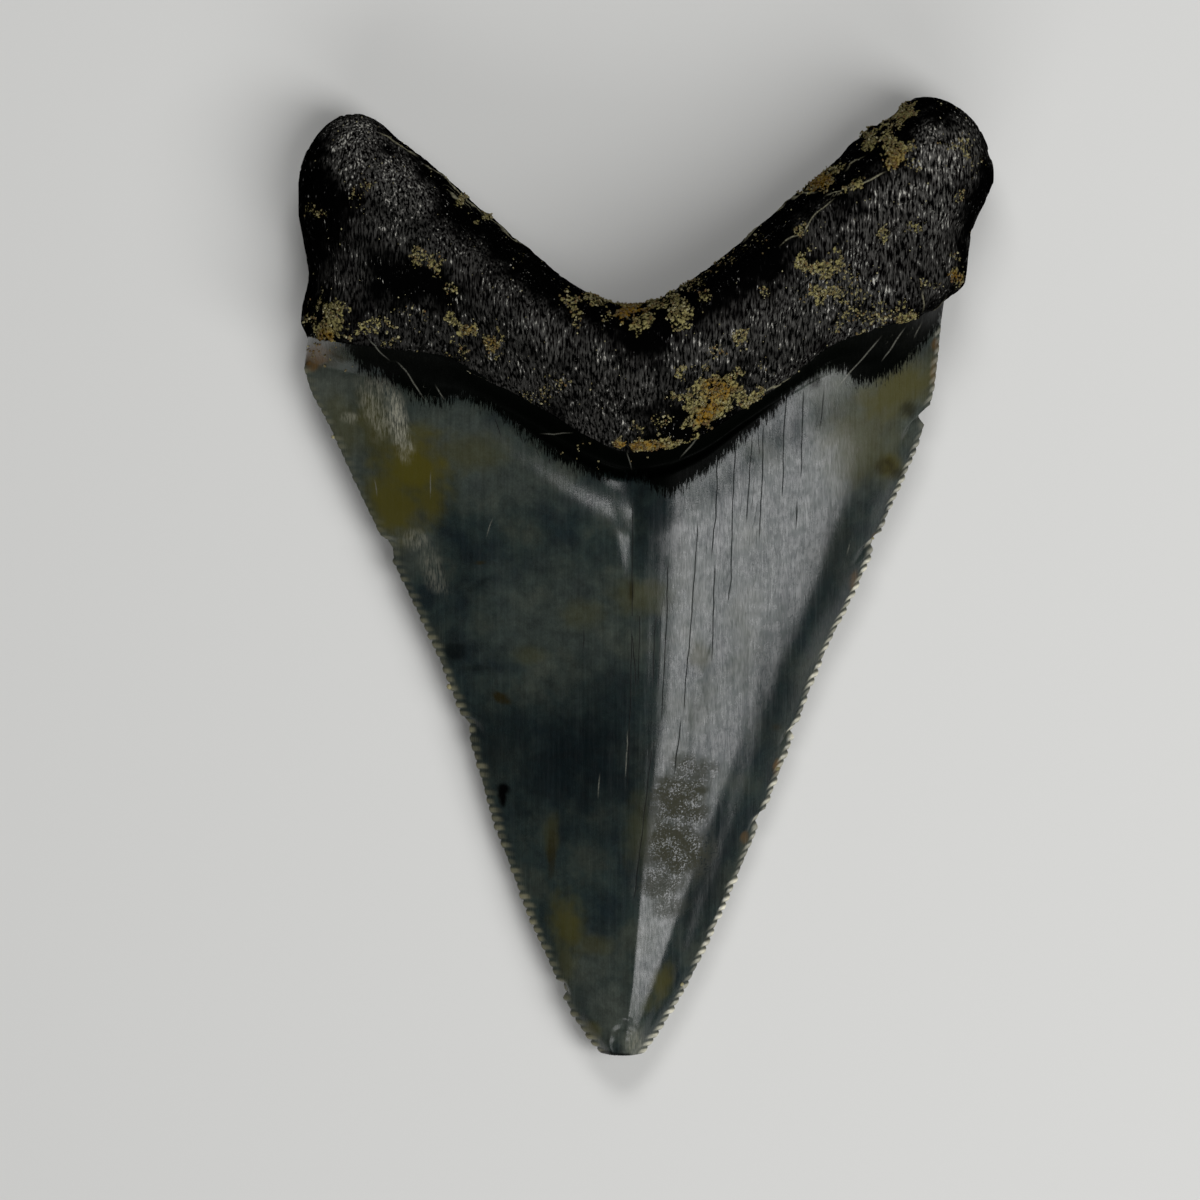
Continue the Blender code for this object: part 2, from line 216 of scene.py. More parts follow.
# Two short furrows below the middle of the neck: photo x and y at both ends, half width and depth in mm
furrows = [((634, 466), (633, 582), 1.75, 0.75), ((656, 470), (655, 520), 0.55, 0.14)]


def fromRidge(across):
    place = toothShape["ridgePlace"]
    return np.where(across < place, (place - across) / place, (across - place) / (1 - place))


def tipLift(up):
    return toothShape["tipLift"] * ease(1 - up / toothShape["tipLiftReach"])


def edgeHeight(up):
    low, high = toothShape["edgeHeightTip"], toothShape["edgeHeightRoot"]
    return low + (high - low) * up + tipLift(up)


def crownTop(across, up):
    # the ridge is rounded near the neck and sharper towards the tip
    rounding = crownSkin["ridgeRounding"] * ease((up - 0.2) / 0.7)
    away = np.sqrt(fromRidge(across) ** 2 + rounding**2) - rounding
    away = away / (np.sqrt(1 + rounding**2) - rounding)
    tipRise = toothShape["tipThickness"] - toothShape["edgeHeightTip"]
    rise = tipRise + (toothShape["crownThickness"] - toothShape["edgeHeightRoot"] - tipRise) * up**0.88
    onLeft = across < toothShape["ridgePlace"]
    # the left flank is rounded; the right one is even, then turns down in a bevel along the cutting edge
    rounded = 0.60 * away**1.1 + 0.40 * away**3.4
    plan, ridge = plans["tongue"]["crown"], np.full_like(up, toothShape["ridgePlace"])
    ridgeX, edgeX = plan(ridge, up)[..., 0], plan(np.ones_like(up), up)[..., 0]
    beyond = np.clip((plan(across, up)[..., 0] - ridgeX) / (edgeX - ridgeX), 0, 1)
    beyond = (np.hypot(beyond, rounding) - rounding) / (np.hypot(1, rounding) - rounding)
    (tipStart, neckStart), (tipSlope, neckSlope) = crownSkin["bevelStart"], crownSkin["rightSlope"]
    start = tipStart + (neckStart - tipStart) * ease(up / 0.55)
    slope = tipSlope + (neckSlope - tipSlope) * ease(up / 0.5)
    soft = crownSkin["bevelSoft"]
    hinge = [np.hypot(place - start, soft) + place - start for place in (0.0, beyond, 1.0)]
    bevelled = slope * beyond + (1 - slope) * (hinge[1] - hinge[0]) / (hinge[2] - hinge[0])
    fall = np.where(onLeft, rounded, bevelled)
    keep = 1 - (1 - crownSkin["rightNeck"]) * ease((across - 0.46) / 0.10)
    neck = toothShape["neckFall"] * keep * ease((up - 0.9) / 0.1) * (1 - fall)
    return edgeHeight(up) + toothShape["edgeThickness"] / 2 + rise * (1 - fall) - neck


def crownUnder(across, up):
    beyondFlat = np.maximum(0.0, (fromRidge(across) - toothShape["flatShare"]) / (1 - toothShape["flatShare"]))
    lift = tipLift(up)
    return lift + (edgeHeight(up) - toothShape["edgeThickness"] / 2 - lift) * 2 * ease(beyondFlat / 2)


def rootRim(up):
    middle = toothShape["edgeHeightRoot"] + (toothShape["rimHeight"] - toothShape["edgeHeightRoot"]) * ease(up)
    edge, rim = toothShape["edgeThickness"], toothShape["rimThickness"]
    half = (edge + (rim - edge) * ease(up / 0.2)) / 2
    return middle - half, middle + half


def sideRounding(across, up, width):
    whole = widthOf(plans["tongue"]["root"], up)
    return bulge(1 - np.minimum(across, 1 - across) * whole / width)


def rootTop(across, up):
    lobe, middle = toothShape["lobeThickness"], toothShape["rootThickness"]
    thickness = lobe + (middle - lobe) * np.exp(-(((2 * across - 1) / 0.5) ** 2))
    crest = 0.48 + 0.26 * ease((across - 0.3) / 0.22)
    lip = toothShape["lipShare"]
    climb = lip + (1 - lip) * np.sin(0.5 * np.pi * np.clip(up / crest, 0, 1))
    share = np.where(up < crest, climb, bulge((up - crest) / (1 - crest), 2.2, 0.66))
    rim = rootRim(up)[1]
    return rim + (thickness - rim) * share * sideRounding(across, up, toothShape["sideRounding"])


def rootUnder(across, up):
    step = toothShape["labialStep"] * (1 - 0.6 * ease(up / 0.6))
    edge = np.maximum(1 - sideRounding(across, up, toothShape["sideRounding"] - 1), ease((up - 0.55) / 0.45))
    return step + (rootRim(up)[0] - step) * edge


def bandTop(across, up):
    # climbs towards the root's lip, and in the middle it stays below it, so the lip stands out as a wall
    middle = ease(1 - abs(2 * across - 1) / 0.55)
    low, high = crownTop(across, np.ones_like(up)), rootTop(across, np.zeros_like(up))
    climb = up ** (1.3 + 2.6 * middle) * (1 - 0.45 * middle)
    groove = toothShape["bandGroove"] * np.sin(np.pi * up) ** 2 * ease(np.minimum(across, 1 - across) / 0.12)
    return low + (high - low) * climb - groove


def bandUnder(across, up):
    low, high = crownUnder(across, np.ones_like(up)), rootUnder(across, np.zeros_like(up))
    return low + (high - low) * ease(up)


def chipDepth(up, edgeChips, edgeLength):
    return sum(depth * bulge(abs(up - place) * edgeLength / half, 2, 1) for place, half, depth in edgeChips)


def solid(points):
    # The CAD box is centred over its own origin, the outline isn't quite: moved there, and kept inside the box
    low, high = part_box("tooth")
    shift = np.array([(low[0] + high[0]) / 2, (low[1] + high[1]) / 2, low[2]]) / mm
    low, high = np.array(low) / mm, np.array(high) / mm
    return np.clip(points + shift, low + boxMargin, high - boxMargin) * mm


def lineGaps(routes, points, wobble, seed):
    # Signed distance in mm to the nearest of some drawn lines, and how far each point belongs to that line.
    # The sign lets a line thinner than a face stay sharp, as the distance passes zero inside the face.
    shaken = points[:, :2] + wobble * np.stack([noiseAt(points, 1.6, seed), noiseAt(points, 1.6, seed + 1)], axis=1)
    gap, here = np.full(len(points), 1e3), np.zeros(len(points))
    for route in routes:
        ends = np.array([photoPoint(*place) for place in route])
        best, along, walked = np.full(len(points), 1e3), np.zeros(len(points)), 0.0
        for start, end in zip(ends, ends[1:]):
            length = np.linalg.norm(end - start)
            step = (end - start) / length
            away = shaken - start
            share = np.clip(away @ step, 0, length)
            distance = np.linalg.norm(away - share[:, None] * step, axis=1)
            nearer = distance < abs(best)
            best = np.where(nearer, distance * np.sign(away[:, 0] * step[1] - away[:, 1] * step[0]), best)
            along = np.where(nearer, walked + share, along)
            walked += length
        belongs = ease((0.5 - abs(best)) / 0.12) * ease(np.minimum(along, walked - along) / min(1.2, walked / 2))
        nearer = abs(best) < abs(gap)
        gap, here = np.where(nearer, best, gap), np.where(nearer, belongs, here)
    return gap, here


def spotMask(spots, points, ragged, size, seed, soft=0.75):
    # Ragged spots: photo x and y, half width and half height in photo pixels, tilt in degrees, strength
    rag = ragged * (noiseAt(points, size, seed) + 0.7 * noiseAt(points, size * 0.35, seed + 1))
    mask = np.zeros(len(points))
    for px, py, halfWidth, halfHeight, tilt, strength in spots:
        away = (points[:, :2] - photoPoint(px, py)) * photo["pixelsPerMm"]
        turn = math.radians(tilt)
        sideways = (away[:, 0] * math.cos(turn) + away[:, 1] * math.sin(turn)) / halfWidth
        upwards = (away[:, 1] * math.cos(turn) - away[:, 0] * math.sin(turn)) / halfHeight
        mask = np.maximum(mask, strength * ease((1 + soft / 2 - np.hypot(sideways, upwards) + rag) / soft))
    return mask


def stitch(chainA, chainB):
    # Triangles between two rows of points that start and end at the same places
    faces, a, b = [], 0, 0
    while a < len(chainA) - 1 or b < len(chainB) - 1:
        shareA, shareB = (a + 1) / (len(chainA) - 1), (b + 1) / (len(chainB) - 1)
        if b == len(chainB) - 1 or (a < len(chainA) - 1 and shareA <= shareB):
            faces.append((chainA[a], chainA[a + 1], chainB[b]))
            a += 1
        else:
            faces.append((chainA[a], chainB[b + 1], chainB[b]))
            b += 1
    return faces


def sheetFaces(ids, upsideDown):
    corners = [ids[:-1, :-1], ids[:-1, 1:], ids[1:, 1:], ids[1:, :-1]]
    if upsideDown:
        corners.reverse()
    return np.stack(corners, axis=-1).reshape(-1, 4).tolist()


def joinSides(tongue, labial, closedRow):
    # Points and faces of both sides, of the rims to their left and right and of the closed end row
    tongueIds = np.arange(tongue.shape[0] * tongue.shape[1]).reshape(tongue.shape[:2])
    labialIds = np.arange(labial.shape[0] * labial.shape[1]).reshape(labial.shape[:2]) + tongueIds.size
    faces = sheetFaces(tongueIds, False) + sheetFaces(labialIds, True)
    for column, flip in ((0, False), (-1, True)):
        top, under = tongueIds[:, column], labialIds[:, column]
        quads = np.stack([top[:-1], top[1:], under[1:], under[:-1]], axis=-1)
        faces += (quads[:, ::-1] if flip else quads).tolist()
    chain = stitch(labialIds[closedRow].tolist(), tongueIds[closedRow].tolist())
    faces += [face if closedRow == 0 else face[::-1] for face in chain]
    points = np.concatenate([tongue.reshape(-1, 3), labial.reshape(-1, 3)])
    return points, faces, np.arange(len(points)) < tongueIds.size


def normalsOf(points, faces):
    mesh = bpy.data.meshes.new("normals")
    mesh.from_pydata(points.tolist(), [], faces)
    normals = np.empty(len(points) * 3, np.float32)
    mesh.vertex_normals.foreach_get("vector", normals)
    bpy.data.meshes.remove(mesh)
    return normals.reshape(-1, 3).astype(float)


def makePiece(name, points, faces, masks, sharpAngle):
    mesh = bpy.data.meshes.new(name)
    mesh.from_pydata(solid(points).tolist(), [], faces)
    mesh.shade_smooth()
    mesh.set_sharp_from_angle(angle=math.radians(sharpAngle))
    for mask, values in masks.items():
        mesh.attributes.new(mask, "FLOAT", "POINT").data.foreach_set("value", values.astype(np.float32))
    piece = bpy.data.objects.new(name, mesh)
    bpy.context.scene.collection.objects.link(piece)
    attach(piece, "root")
    print(name + ":", len(faces), "faces")
    return piece


# Marks on the enamel: photo x and y, half width and half height in photo pixels, tilt, strength
crownMarks = {
    # darker patches; along the right flank's outer strip and below the neck they are painted shade, where the surface
    # turns from the lamps
    "darkAndShade": [(575, 760, 70, 62, 0, 1.0), (500, 745, 40, 40, 0, 0.7), (600, 700, 40, 40, 0, 0.6),
            (600, 820, 34, 34, 0, 0.5), (664, 530, 20, 36, 0, 0.7), (830, 560, 26, 70, -18, 0.6),
            (775, 690, 22, 60, -20, 0.6), (705, 880, 18, 60, -22, 0.8), (470, 560, 24, 40, 0, 0.3),
            (440, 650, 20, 30, 0, 0.4)],
    "milky": [(330, 390, 26, 28, 0, 0.9), (345, 440, 22, 50, 22, 0.6), (440, 440, 70, 34, 0, 0.5),
              (500, 480, 60, 30, -10, 0.4), (862, 430, 40, 60, -15, 0.7), (905, 400, 30, 50, -25, 0.7),
              (400, 540, 30, 30, 20, 0.5), (612, 1010, 24, 30, 0, 0.6), (590, 970, 24, 34, 0, 0.4),
              (633, 1043, 12, 19, 0, 1.0), (830, 376, 26, 34, -25, 0.7), (560, 620, 70, 60, 0, 0.3)],
    "olive": [(412, 470, 36, 34, 20, 1.0), (396, 505, 26, 30, 0, 0.9), (430, 500, 16, 22, 0, 0.8),
              (378, 436, 16, 40, 20, 0.55), (470, 455, 36, 16, 0, 0.35), (345, 425, 16, 30, 25, 0.35),
              (895, 392, 44, 20, 35, 0.75), (862, 440, 34, 40, 0, 0.40), (888, 465, 12, 12, 0, 0.8),
              (568, 925, 15, 28, 8, 0.6), (592, 944, 20, 9, -10, 0.3), (566, 960, 8, 20, 0, 0.35),
              (662, 984, 9, 20, -20, 0.6), (650, 1000, 6, 14, -20, 0.3), (638, 830, 12, 36, -5, 0.25),
              (640, 598, 24, 16, 0, 0.35), (590, 1032, 9, 9, 0, 0.5), (551, 838, 7, 20, -4, 0.3),
              (700, 655, 10, 12, 0, 0.35), (530, 655, 14, 8, 0, 0.25), (583, 615, 18, 14, 0, 0.25)],
    "brown": [(501, 698, 10, 5, -30, 1.0), (552, 850, 4, 26, -3, 0.7), (776, 727, 5, 3, 0, 0.7),
              (480, 563, 5, 2, 0, 0.8), (631, 592, 3, 9, 0, 0.8), (886, 466, 10, 9, 0, 0.8),
              (322, 353, 26, 13, 0, 0.85)],
    # pale streaks; those on the left shoulder near the neck are also a painted highlight
    "pale": [(398, 420, 8, 34, 12, 0.9), (376, 410, 12, 30, 20, 0.45), (385, 388, 14, 10, 20, 0.5),
             (350, 418, 8, 6, 0, 0.6), (408, 448, 8, 6, -40, 0.7), (415, 540, 12, 10, 0, 0.35),
             (434, 570, 10, 24, 20, 0.3), (634, 1043, 8, 14, 0, 0.35)],
    "speckle": [(678, 800, 26, 26, 0, 1.0), (676, 845, 32, 30, -10, 1.0), (690, 770, 22, 14, 0, 0.7),
                (662, 880, 22, 22, 0, 0.7), (668, 905, 20, 12, 0, 0.5)],
    "rust": [(935, 374, 4, 14, 0, 0.35), (778, 768, 4, 8, 0, 0.4), (936, 345, 4, 6, 0, 0.5),
             (876, 538, 4, 5, 0, 0.4), (316, 355, 12, 10, 0, 0.3), (745, 838, 4, 5, 0, 0.25),
             (854, 580, 4, 10, 0, 0.25), (311, 366, 6, 5, 0, 0.4)],
    "soot": [(502, 797, 4, 10, 5, 1.0), (504, 789, 6, 6, 0, 1.0), (455, 651, 11, 9, 0, 0.55),
             (910, 409, 9, 8, 0, 0.55), (606, 1054, 8, 3, 0, 0.8), (620, 1056, 12, 3, 0, 0.8),
             (780, 390, 9, 4, 35, 0.8), (793, 385, 5, 4, 20, 0.8), (808, 374, 6, 7, 0, 0.8), (814, 384, 4, 6, 0, 0.6),
             (897, 474, 6, 5, 0, 0.5), (480, 584, 14, 3, 30, 0.35), (478, 668, 16, 3, 0, 0.35)],
}
# Where the enamel ends at the dental band on the tongue side, as photo points, left to right
enamelEnd = [(300, 350), (322, 348), (340, 358), (360, 374), (385, 380), (400, 388), (420, 402), (440, 404),
             (456, 402), (470, 399), (482, 406), (500, 415), (512, 425), (525, 435), (540, 446), (556, 460),
             (575, 470), (596, 478), (620, 480), (644, 480), (656, 492), (672, 493), (692, 484), (712, 468),
             (730, 451), (750, 434), (768, 417), (785, 400), (800, 388), (815, 377), (830, 370), (846, 375),
             (852, 384), (868, 384), (885, 377), (905, 363), (922, 347), (936, 328), (946, 306)]
bandDarkness = [(300, 0.2), (335, 0.3), (355, 0.75), (385, 0.95), (412, 1.0)]  # photo x, strength
markSoftness = {"darkAndShade": 1.7, "milky": 1.5, "olive": 1.3, "pale": 1.0, "speckle": 1.0}  # 0.75 for the others
# Hairline cracks and pale scratches, as photo points
enamelCracks = [
    [(697, 520), (692, 600), (688, 650), (685, 680), (683, 714)], [(652, 742), (645, 805), (640, 850), (633, 905)],
    [(714, 560), (711, 664)], [(785, 396), (782, 440), (781, 500)], [(802, 388), (801, 430), (799, 482)],
    [(734, 440), (731, 520), (730, 580), (727, 606)], [(751, 434), (748, 480), (745, 526)],
    [(762, 424), (761, 470), (758, 542)], [(717, 456), (714, 520), (710, 560)],
    [(681, 716), (673, 778)], [(668, 556), (665, 640), (661, 724)], [(632, 498), (632, 600), (630, 700), (627, 792)],
    [(823, 388), (818, 434)], [(796, 498), (795, 532)],
    [(493, 412), (499, 430), (503, 444)], [(519, 430), (525, 450)], [(536, 446), (542, 464)],
    [(584, 622), (584, 654)], [(640, 590), (638, 690)], [(655, 610), (652, 690)],
]
enamelScratches = [
    [(432, 470), (430, 502)], [(495, 516), (486, 540)], [(628, 728), (625, 778)],
    [(374, 476), (377, 498)], [(600, 770), (598, 800)], [(850, 540), (846, 556)],
]
bandScratches = [
    [(368, 338), (382, 354), (392, 364)], [(396, 362), (408, 372), (414, 384), (427, 402)],
    [(436, 386), (446, 402)], [(540, 434), (556, 436), (574, 434)], [(912, 340), (921, 324)],
    [(834, 390), (850, 372), (862, 358), (880, 338)], [(880, 364), (892, 346), (904, 328)],
    [(700, 436), (690, 448), (678, 460)], [(626, 452), (632, 472)],
]


def acrossColumns(width, middleCount):
    edge = np.array(crownSkin["edgeColumns"])
    squeeze = np.minimum(1.0, 0.3 * width / edge[-1])[:, None]
    left = edge * squeeze / width[:, None]
    inner = left[:, -1:] + (1 - 2 * left[:, -1:]) * np.linspace(0, 1, middleCount + 2)[1:-1]
    return np.concatenate([left, inner, 1 - left[:, ::-1]], axis=1)


def carveTip(flat, height):
    sideways = (flat[..., 0] - tipScar["centre"][0]) / tipScar["halfWidth"]
    upwards = (flat[..., 1] - tipScar["centre"][1]) / tipScar["halfLength"]
    ragged = tipScar["ragged"] * noiseAt(np.concatenate([flat, height[..., None]], axis=-1), tipScar["raggedMm"], 8)
    inScar = ease((1.3 - np.hypot(sideways, upwards) + ragged) / tipScar["soft"])
    # the ripples run out from the tip, where the flake was struck off
    steps = np.sin(2 * np.pi * np.hypot(sideways, upwards + 1) * tipScar["halfLength"] / tipScar["rippleMm"])
    height -= inScar * (tipScar["depth"] + tipScar["ripple"] * steps)


def carveFurrows(flat, height, up):
    for start, end, halfWidth, depth in furrows:
        top, bottom = photoPoint(*start), photoPoint(*end)
        share = np.clip((top[1] - flat[..., 1]) / (top[1] - bottom[1]), -0.2, 1)
        middle = top[0] + (bottom[0] - top[0]) * share
        sideways = (flat[..., 0] - middle) / (halfWidth * (1 - 0.75 * share))
        lie = np.where(sideways < 0, ease(1 + sideways / 2), ease(1 - sideways / 1.1))
        height -= depth * lie * (1 - share) ** 0.7 * ease((1.03 - up) / 0.03)


def crownSide(side, crownRows, bandRows):
    onTongue = side == "tongue"
    rowUp = np.concatenate([crownRows, bandRows])
    band = np.arange(len(rowUp)) >= len(crownRows)
    plan = plans["tongue"]
    width = np.where(band, widthOf(plan["band"], np.minimum(rowUp, 1.0)), widthOf(plan["crown"], rowUp))
    across = acrossColumns(width, crownSkin["middleColumns"][side])
    up = np.repeat(rowUp[:, None], across.shape[1], axis=1)
    within, beyond = np.minimum(up[band], 1.0), np.maximum(up[band] - 1, 0)
    flat, height = np.empty(across.shape + (2,)), np.empty(across.shape)
    flat[~band] = plans[side]["crown"](across[~band], up[~band])
    flat[band] = plans[side]["band"](across[band], within)
    flat[band, :, 1] += beyond * crownSkin["tuckUnderLip"]
    crownHeight, bandHeight = (crownTop, bandTop) if onTongue else (crownUnder, bandUnder)
    height[~band] = crownHeight(across[~band], up[~band])
    height[band] = bandHeight(across[band], within) - crownSkin["tuckDown"] * beyond * (1 if onTongue else -1)

    # serrations, their ribs and the chips
    fromLeft, fromRight = across * width[:, None], (1 - across) * width[:, None]
    rng = np.random.default_rng(7)
    count, slant = toothShape["serrations"], crownSkin["serrationSlant"]
    serration = np.clip((up * count).astype(int), 0, count - 1)
    lobe = np.abs(np.sin(np.pi * up * count)) ** crownSkin["serrationPower"]
    ribs = np.zeros(across.shape)
    for edge, edgeGap, sign in (("left", fromLeft, -1), ("right", fromRight, 1)):
        worn = 0.6 * ease((up - crownSkin["wornAbove"][edge]) / 0.12)
        wear = rng.uniform(*crownSkin["wear"], count)[serration] * ~band[:, None] * (1 - worn)
        reach = rng.uniform(*crownSkin["ribSpread"], count)[serration] * crownSkin["ribLength"]
        outward = np.array([sign, -slant]) / math.hypot(1, slant)
        push = toothShape["serrationDepth"] * wear * lobe * ease(1 - edgeGap / crownSkin["serrationReach"])
        bite = chipDepth(up, chips[edge], toothShape[edge + "EdgeLength"]) * ~band[:, None]
        push -= bite * ease(1 - edgeGap / np.maximum(0.06 * width[:, None], 0.5))
        flat += push[..., None] * outward
        rib = wear * ease((lobe - 0.60) / 0.3) * ease(1.15 - edgeGap / reach)
        ribs = np.maximum(ribs, rib)
        rise = crownSkin["ribHeight"] * (1.5 + sign / 2) * (rib - 0.4 * wear * ease(1 - edgeGap / reach))
        height += rise if onTongue else -rise
    if onTongue:
        carveTip(flat, height)
        carveFurrows(flat, height, up)
    points = np.concatenate([flat, height[..., None]], axis=-1)

    # broad swells and fine growth lines, fading out towards the edges
    edgeGap = np.minimum(fromLeft, fromRight)
    inside = ease(edgeGap / 1.5) * np.where(band[:, None], 1.0, ease((1.05 - up) / 0.1))
    seed = 1.0 if onTongue else 4.0
    relief = crownSkin["swell"] * noiseAt(points, crownSkin["swellMm"], seed)
    relief += 0.35 * crownSkin["swell"] * noiseAt(points, crownSkin["smallSwellMm"], seed + 1)
    relief += crownSkin["growthLines"] * noiseAt(points, crownSkin["growthLinesMm"], seed + 2)
    points[..., 2] += relief * inside if onTongue else 0.4 * abs(relief) * inside
    facts = {"up": up, "edgeGap": edgeGap, "ribs": ribs, "onRight": (across > 0.5) * 1.0,
             "inBand": np.repeat(band[:, None], across.shape[1], axis=1)}
    return points, facts


def bandMask(points, facts, onTongue):
    # Passes 0.5 where the enamel ends, which doesn't follow the relief's edge; the material feathers it there
    px = points[:, 0] * photo["pixelsPerMm"] + photo["originX"]
    py = photo["originY"] - points[:, 1] * photo["pixelsPerMm"]
    endX, endY = np.array(enamelEnd).T
    drawn = np.clip((np.interp(px, endX, endY) - py + 5 * noiseAt(points, 0.9, 9)) / 40 + 0.55, 0, 1)
    drawn *= np.interp(px, *np.array(bandDarkness).T)
    under = np.where(facts["inBand"], 1.0, ease((facts["up"] + 0.02 * noiseAt(points, 1.0, 12) - 0.993) / 0.014))
    return np.where(onTongue, drawn, under)


def buildCrown():
    rows = np.linspace(0, 1, toothShape["serrations"] * crownSkin["rowsPerSerration"] + 1)
    band = np.concatenate([np.linspace(0, 1, crownSkin["bandRows"] + 1)[1:], [1.5, 2.0]])
    tongue, tongueFacts = crownSide("tongue", rows, band)
    labial, labialFacts = crownSide("labial", rows, band)
    points, faces, onTongue = joinSides(tongue, labial, 0)
    facts = {key: np.concatenate([tongueFacts[key].ravel(), labialFacts[key].ravel()]) for key in tongueFacts}
    masks = {name: spotMask(spots, points, 0.35, 1.6, index + 20.0, markSoftness.get(name, 0.75)) * onTongue
             for index, (name, spots) in enumerate(crownMarks.items())}
    masks["band"] = bandMask(points, facts, onTongue)
    masks["edge"] = ease(1 - facts["edgeGap"] / 0.8) * ~facts["inBand"] * (0.6 + 0.6 * noiseAt(points, 2.5, 33))
    masks["ribs"] = facts["ribs"] * (0.95 + 0.8 * noiseAt(points, (30, 5, 30), 34))
    # which side each point is on; it gives the right ribs their painted highlight
    masks["onRight"] = facts["onRight"]
    masks["labial"] = 1.0 - onTongue
    masks["crackGap"], crackHere = lineGaps(enamelCracks, points, 0.10, 35)
    masks["scratchGap"], scratchHere = lineGaps(enamelScratches + bandScratches, points, 0.12, 37)
    masks["crackHere"], masks["scratchHere"] = crackHere * onTongue, scratchHere * onTongue
    points[:, 2] -= crownSkin["crackDepth"] * masks["crackHere"] * ease(1 - abs(masks["crackGap"]) / 0.25)
    sand = spotMask(bandSand, points, 1.1, 1.2, 56.0, 0.4) * (onTongue & facts["inBand"] & (facts["up"] < 1))
    crown = makePiece("tooth_crown", points, faces, masks, 60)
    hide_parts("tooth")
    return crown, (points, normalsOf(points, faces), sand)


# Root: two lobes of fibrous bone, one skin from inside the lip to the notch
rootSkin = {
    "columns": {"tongue": 420, "labial": 150},
    "rows": 124,
    "skirt": (0.35, 0.8),      # mm that the skin runs back and down inside the lip
    "lumps": 0.12, "lumpsMm": (2.4, 3.6, 2.4),     # worn unevenness: mm high, and its size in mm
    "fibres": 0.07, "fibresMm": (0.45, 2.0, 0.45),  # bundles along the root, the same way
    "pores": 0.09, "poresMm": (0.45, 0.9, 0.45),    # mm deep, and their size
    "crust": 0.20,             # mm that the sandy crusts stand proud
    "rims": 0.16,              # mm that worn rims stand proud
}
# Sandy crusts on the root and on the band, as the marks above
rootSand = [
    (334, 325, 16, 18, 0, 1.0), (328, 350, 13, 17, 10, 1.0), (318, 318, 10, 14, 10, 0.6), (370, 329, 14, 8, 10, 0.7),
    (395, 343, 8, 10, 0, 0.6), (423, 264, 8, 8, 0, 0.7), (437, 270, 8, 8, 0, 0.9), (436, 280, 11, 4, 0, 0.5),
    (452, 293, 7, 6, 0, 0.7), (452, 322, 6, 6, 0, 0.9), (408, 314, 8, 10, 0, 0.4), (470, 335, 9, 7, 0, 0.9),
    (494, 348, 11, 12, 0, 0.9), (462, 350, 9, 8, 0, 0.6), (456, 359, 10, 4, -20, 0.6), (424, 320, 6, 6, 0, 0.4),
    (573, 312, 7, 12, 15, 0.8), (577, 326, 4, 8, 0, 0.6), (518, 262, 14, 5, 0, 0.3), (404, 150, 16, 6, 40, 0.3),
    (462, 203, 9, 4, 45, 0.8), (488, 218, 12, 4, 42, 0.9), (592, 300, 10, 5, 30, 0.8), (312, 212, 6, 7, 0, 0.7),
    (325, 216, 6, 5, 0, 0.7), (373, 188, 6, 6, 0, 0.5), (362, 200, 6, 8, 0, 0.4), (630, 316, 22, 9, 10, 1.0),
    (640, 328, 10, 8, 0, 0.9), (600, 306, 14, 5, 25, 0.7), (678, 314, 12, 14, -12, 0.9), (678, 330, 9, 9, 0, 0.8),
    (700, 303, 7, 6, 0, 0.8), (655, 308, 20, 5, -10, 0.8), (690, 290, 20, 7, 30, 0.5), (720, 268, 22, 6, 32, 0.35),
    (762, 245, 10, 8, 0, 0.35), (738, 341, 9, 8, 0, 0.8), (714, 357, 7, 8, 0, 0.6), (678, 378, 6, 9, 0, 0.8),
    (718, 384, 24, 14, 0, 0.8), (714, 398, 34, 16, -8, 1.0), (705, 414, 20, 14, 30, 1.0), (690, 408, 12, 10, 0, 0.9),
    (645, 447, 40, 5, 2, 1.0), (632, 429, 10, 6, 0, 0.5), (660, 424, 9, 10, 0, 0.6), (545, 394, 22, 10, 25, 0.45),
    (762, 368, 6, 6, 0, 0.4), (763, 296, 4, 6, 0, 0.7), (798, 268, 7, 9, 0, 1.0), (806, 258, 4, 8, 0, 0.5),
    (822, 276, 13, 15, -25, 0.9), (812, 296, 9, 10, 0, 0.9), (850, 300, 14, 20, -10, 0.5), (852, 320, 22, 12, 0, 0.55),
    (880, 318, 26, 12, 10, 0.5), (903, 322, 10, 10, 20, 0.9), (903, 116, 10, 10, 35, 1.0), (893, 130, 10, 10, 0, 0.6),
    (888, 142, 12, 10, 0, 0.8), (892, 160, 11, 17, -20, 1.0), (868, 145, 7, 13, 0, 0.9), (905, 168, 10, 10, 0, 0.5),
    (819, 185, 16, 9, 25, 1.0), (834, 174, 8, 5, 30, 0.8), (851, 190, 14, 5, 30, 0.9), (798, 237, 9, 6, 40, 0.7),
    (880, 240, 8, 7, 15, 0.8), (912, 232, 7, 6, 0, 0.7), (955, 150, 12, 9, 0, 0.7), (968, 165, 12, 14, 0, 0.35),
    (955, 200, 4, 5, 0, 0.7), (952, 277, 8, 6, 0, 0.9), (950, 258, 5, 4, 0, 0.5), (928, 288, 14, 5, 0, 0.5),
]
bandSand = [
    (322, 352, 22, 13, 0, 1.0), (312, 350, 6, 9, 0, 0.8), (345, 368, 9, 7, 0, 0.5), (358, 376, 10, 6, 0, 0.6),
    (575, 450, 22, 8, 30, 0.55), (600, 460, 24, 7, 15, 0.45), (640, 462, 30, 5, 0, 0.35), (690, 452, 6, 4, 0, 0.4),
]
orangeSand = [
    (326, 350, 12, 15, 10, 0.8), (628, 318, 16, 9, 15, 1.0), (716, 392, 16, 11, 0, 0.8), (705, 416, 14, 9, 40, 0.9),
    (819, 187, 12, 9, 30, 0.8), (640, 449, 30, 5, 2, 0.8), (952, 278, 8, 6, 0, 1.0), (494, 350, 9, 8, 0, 0.5),
    (892, 165, 9, 11, -30, 0.4), (470, 335, 6, 5, 0, 0.6),
]
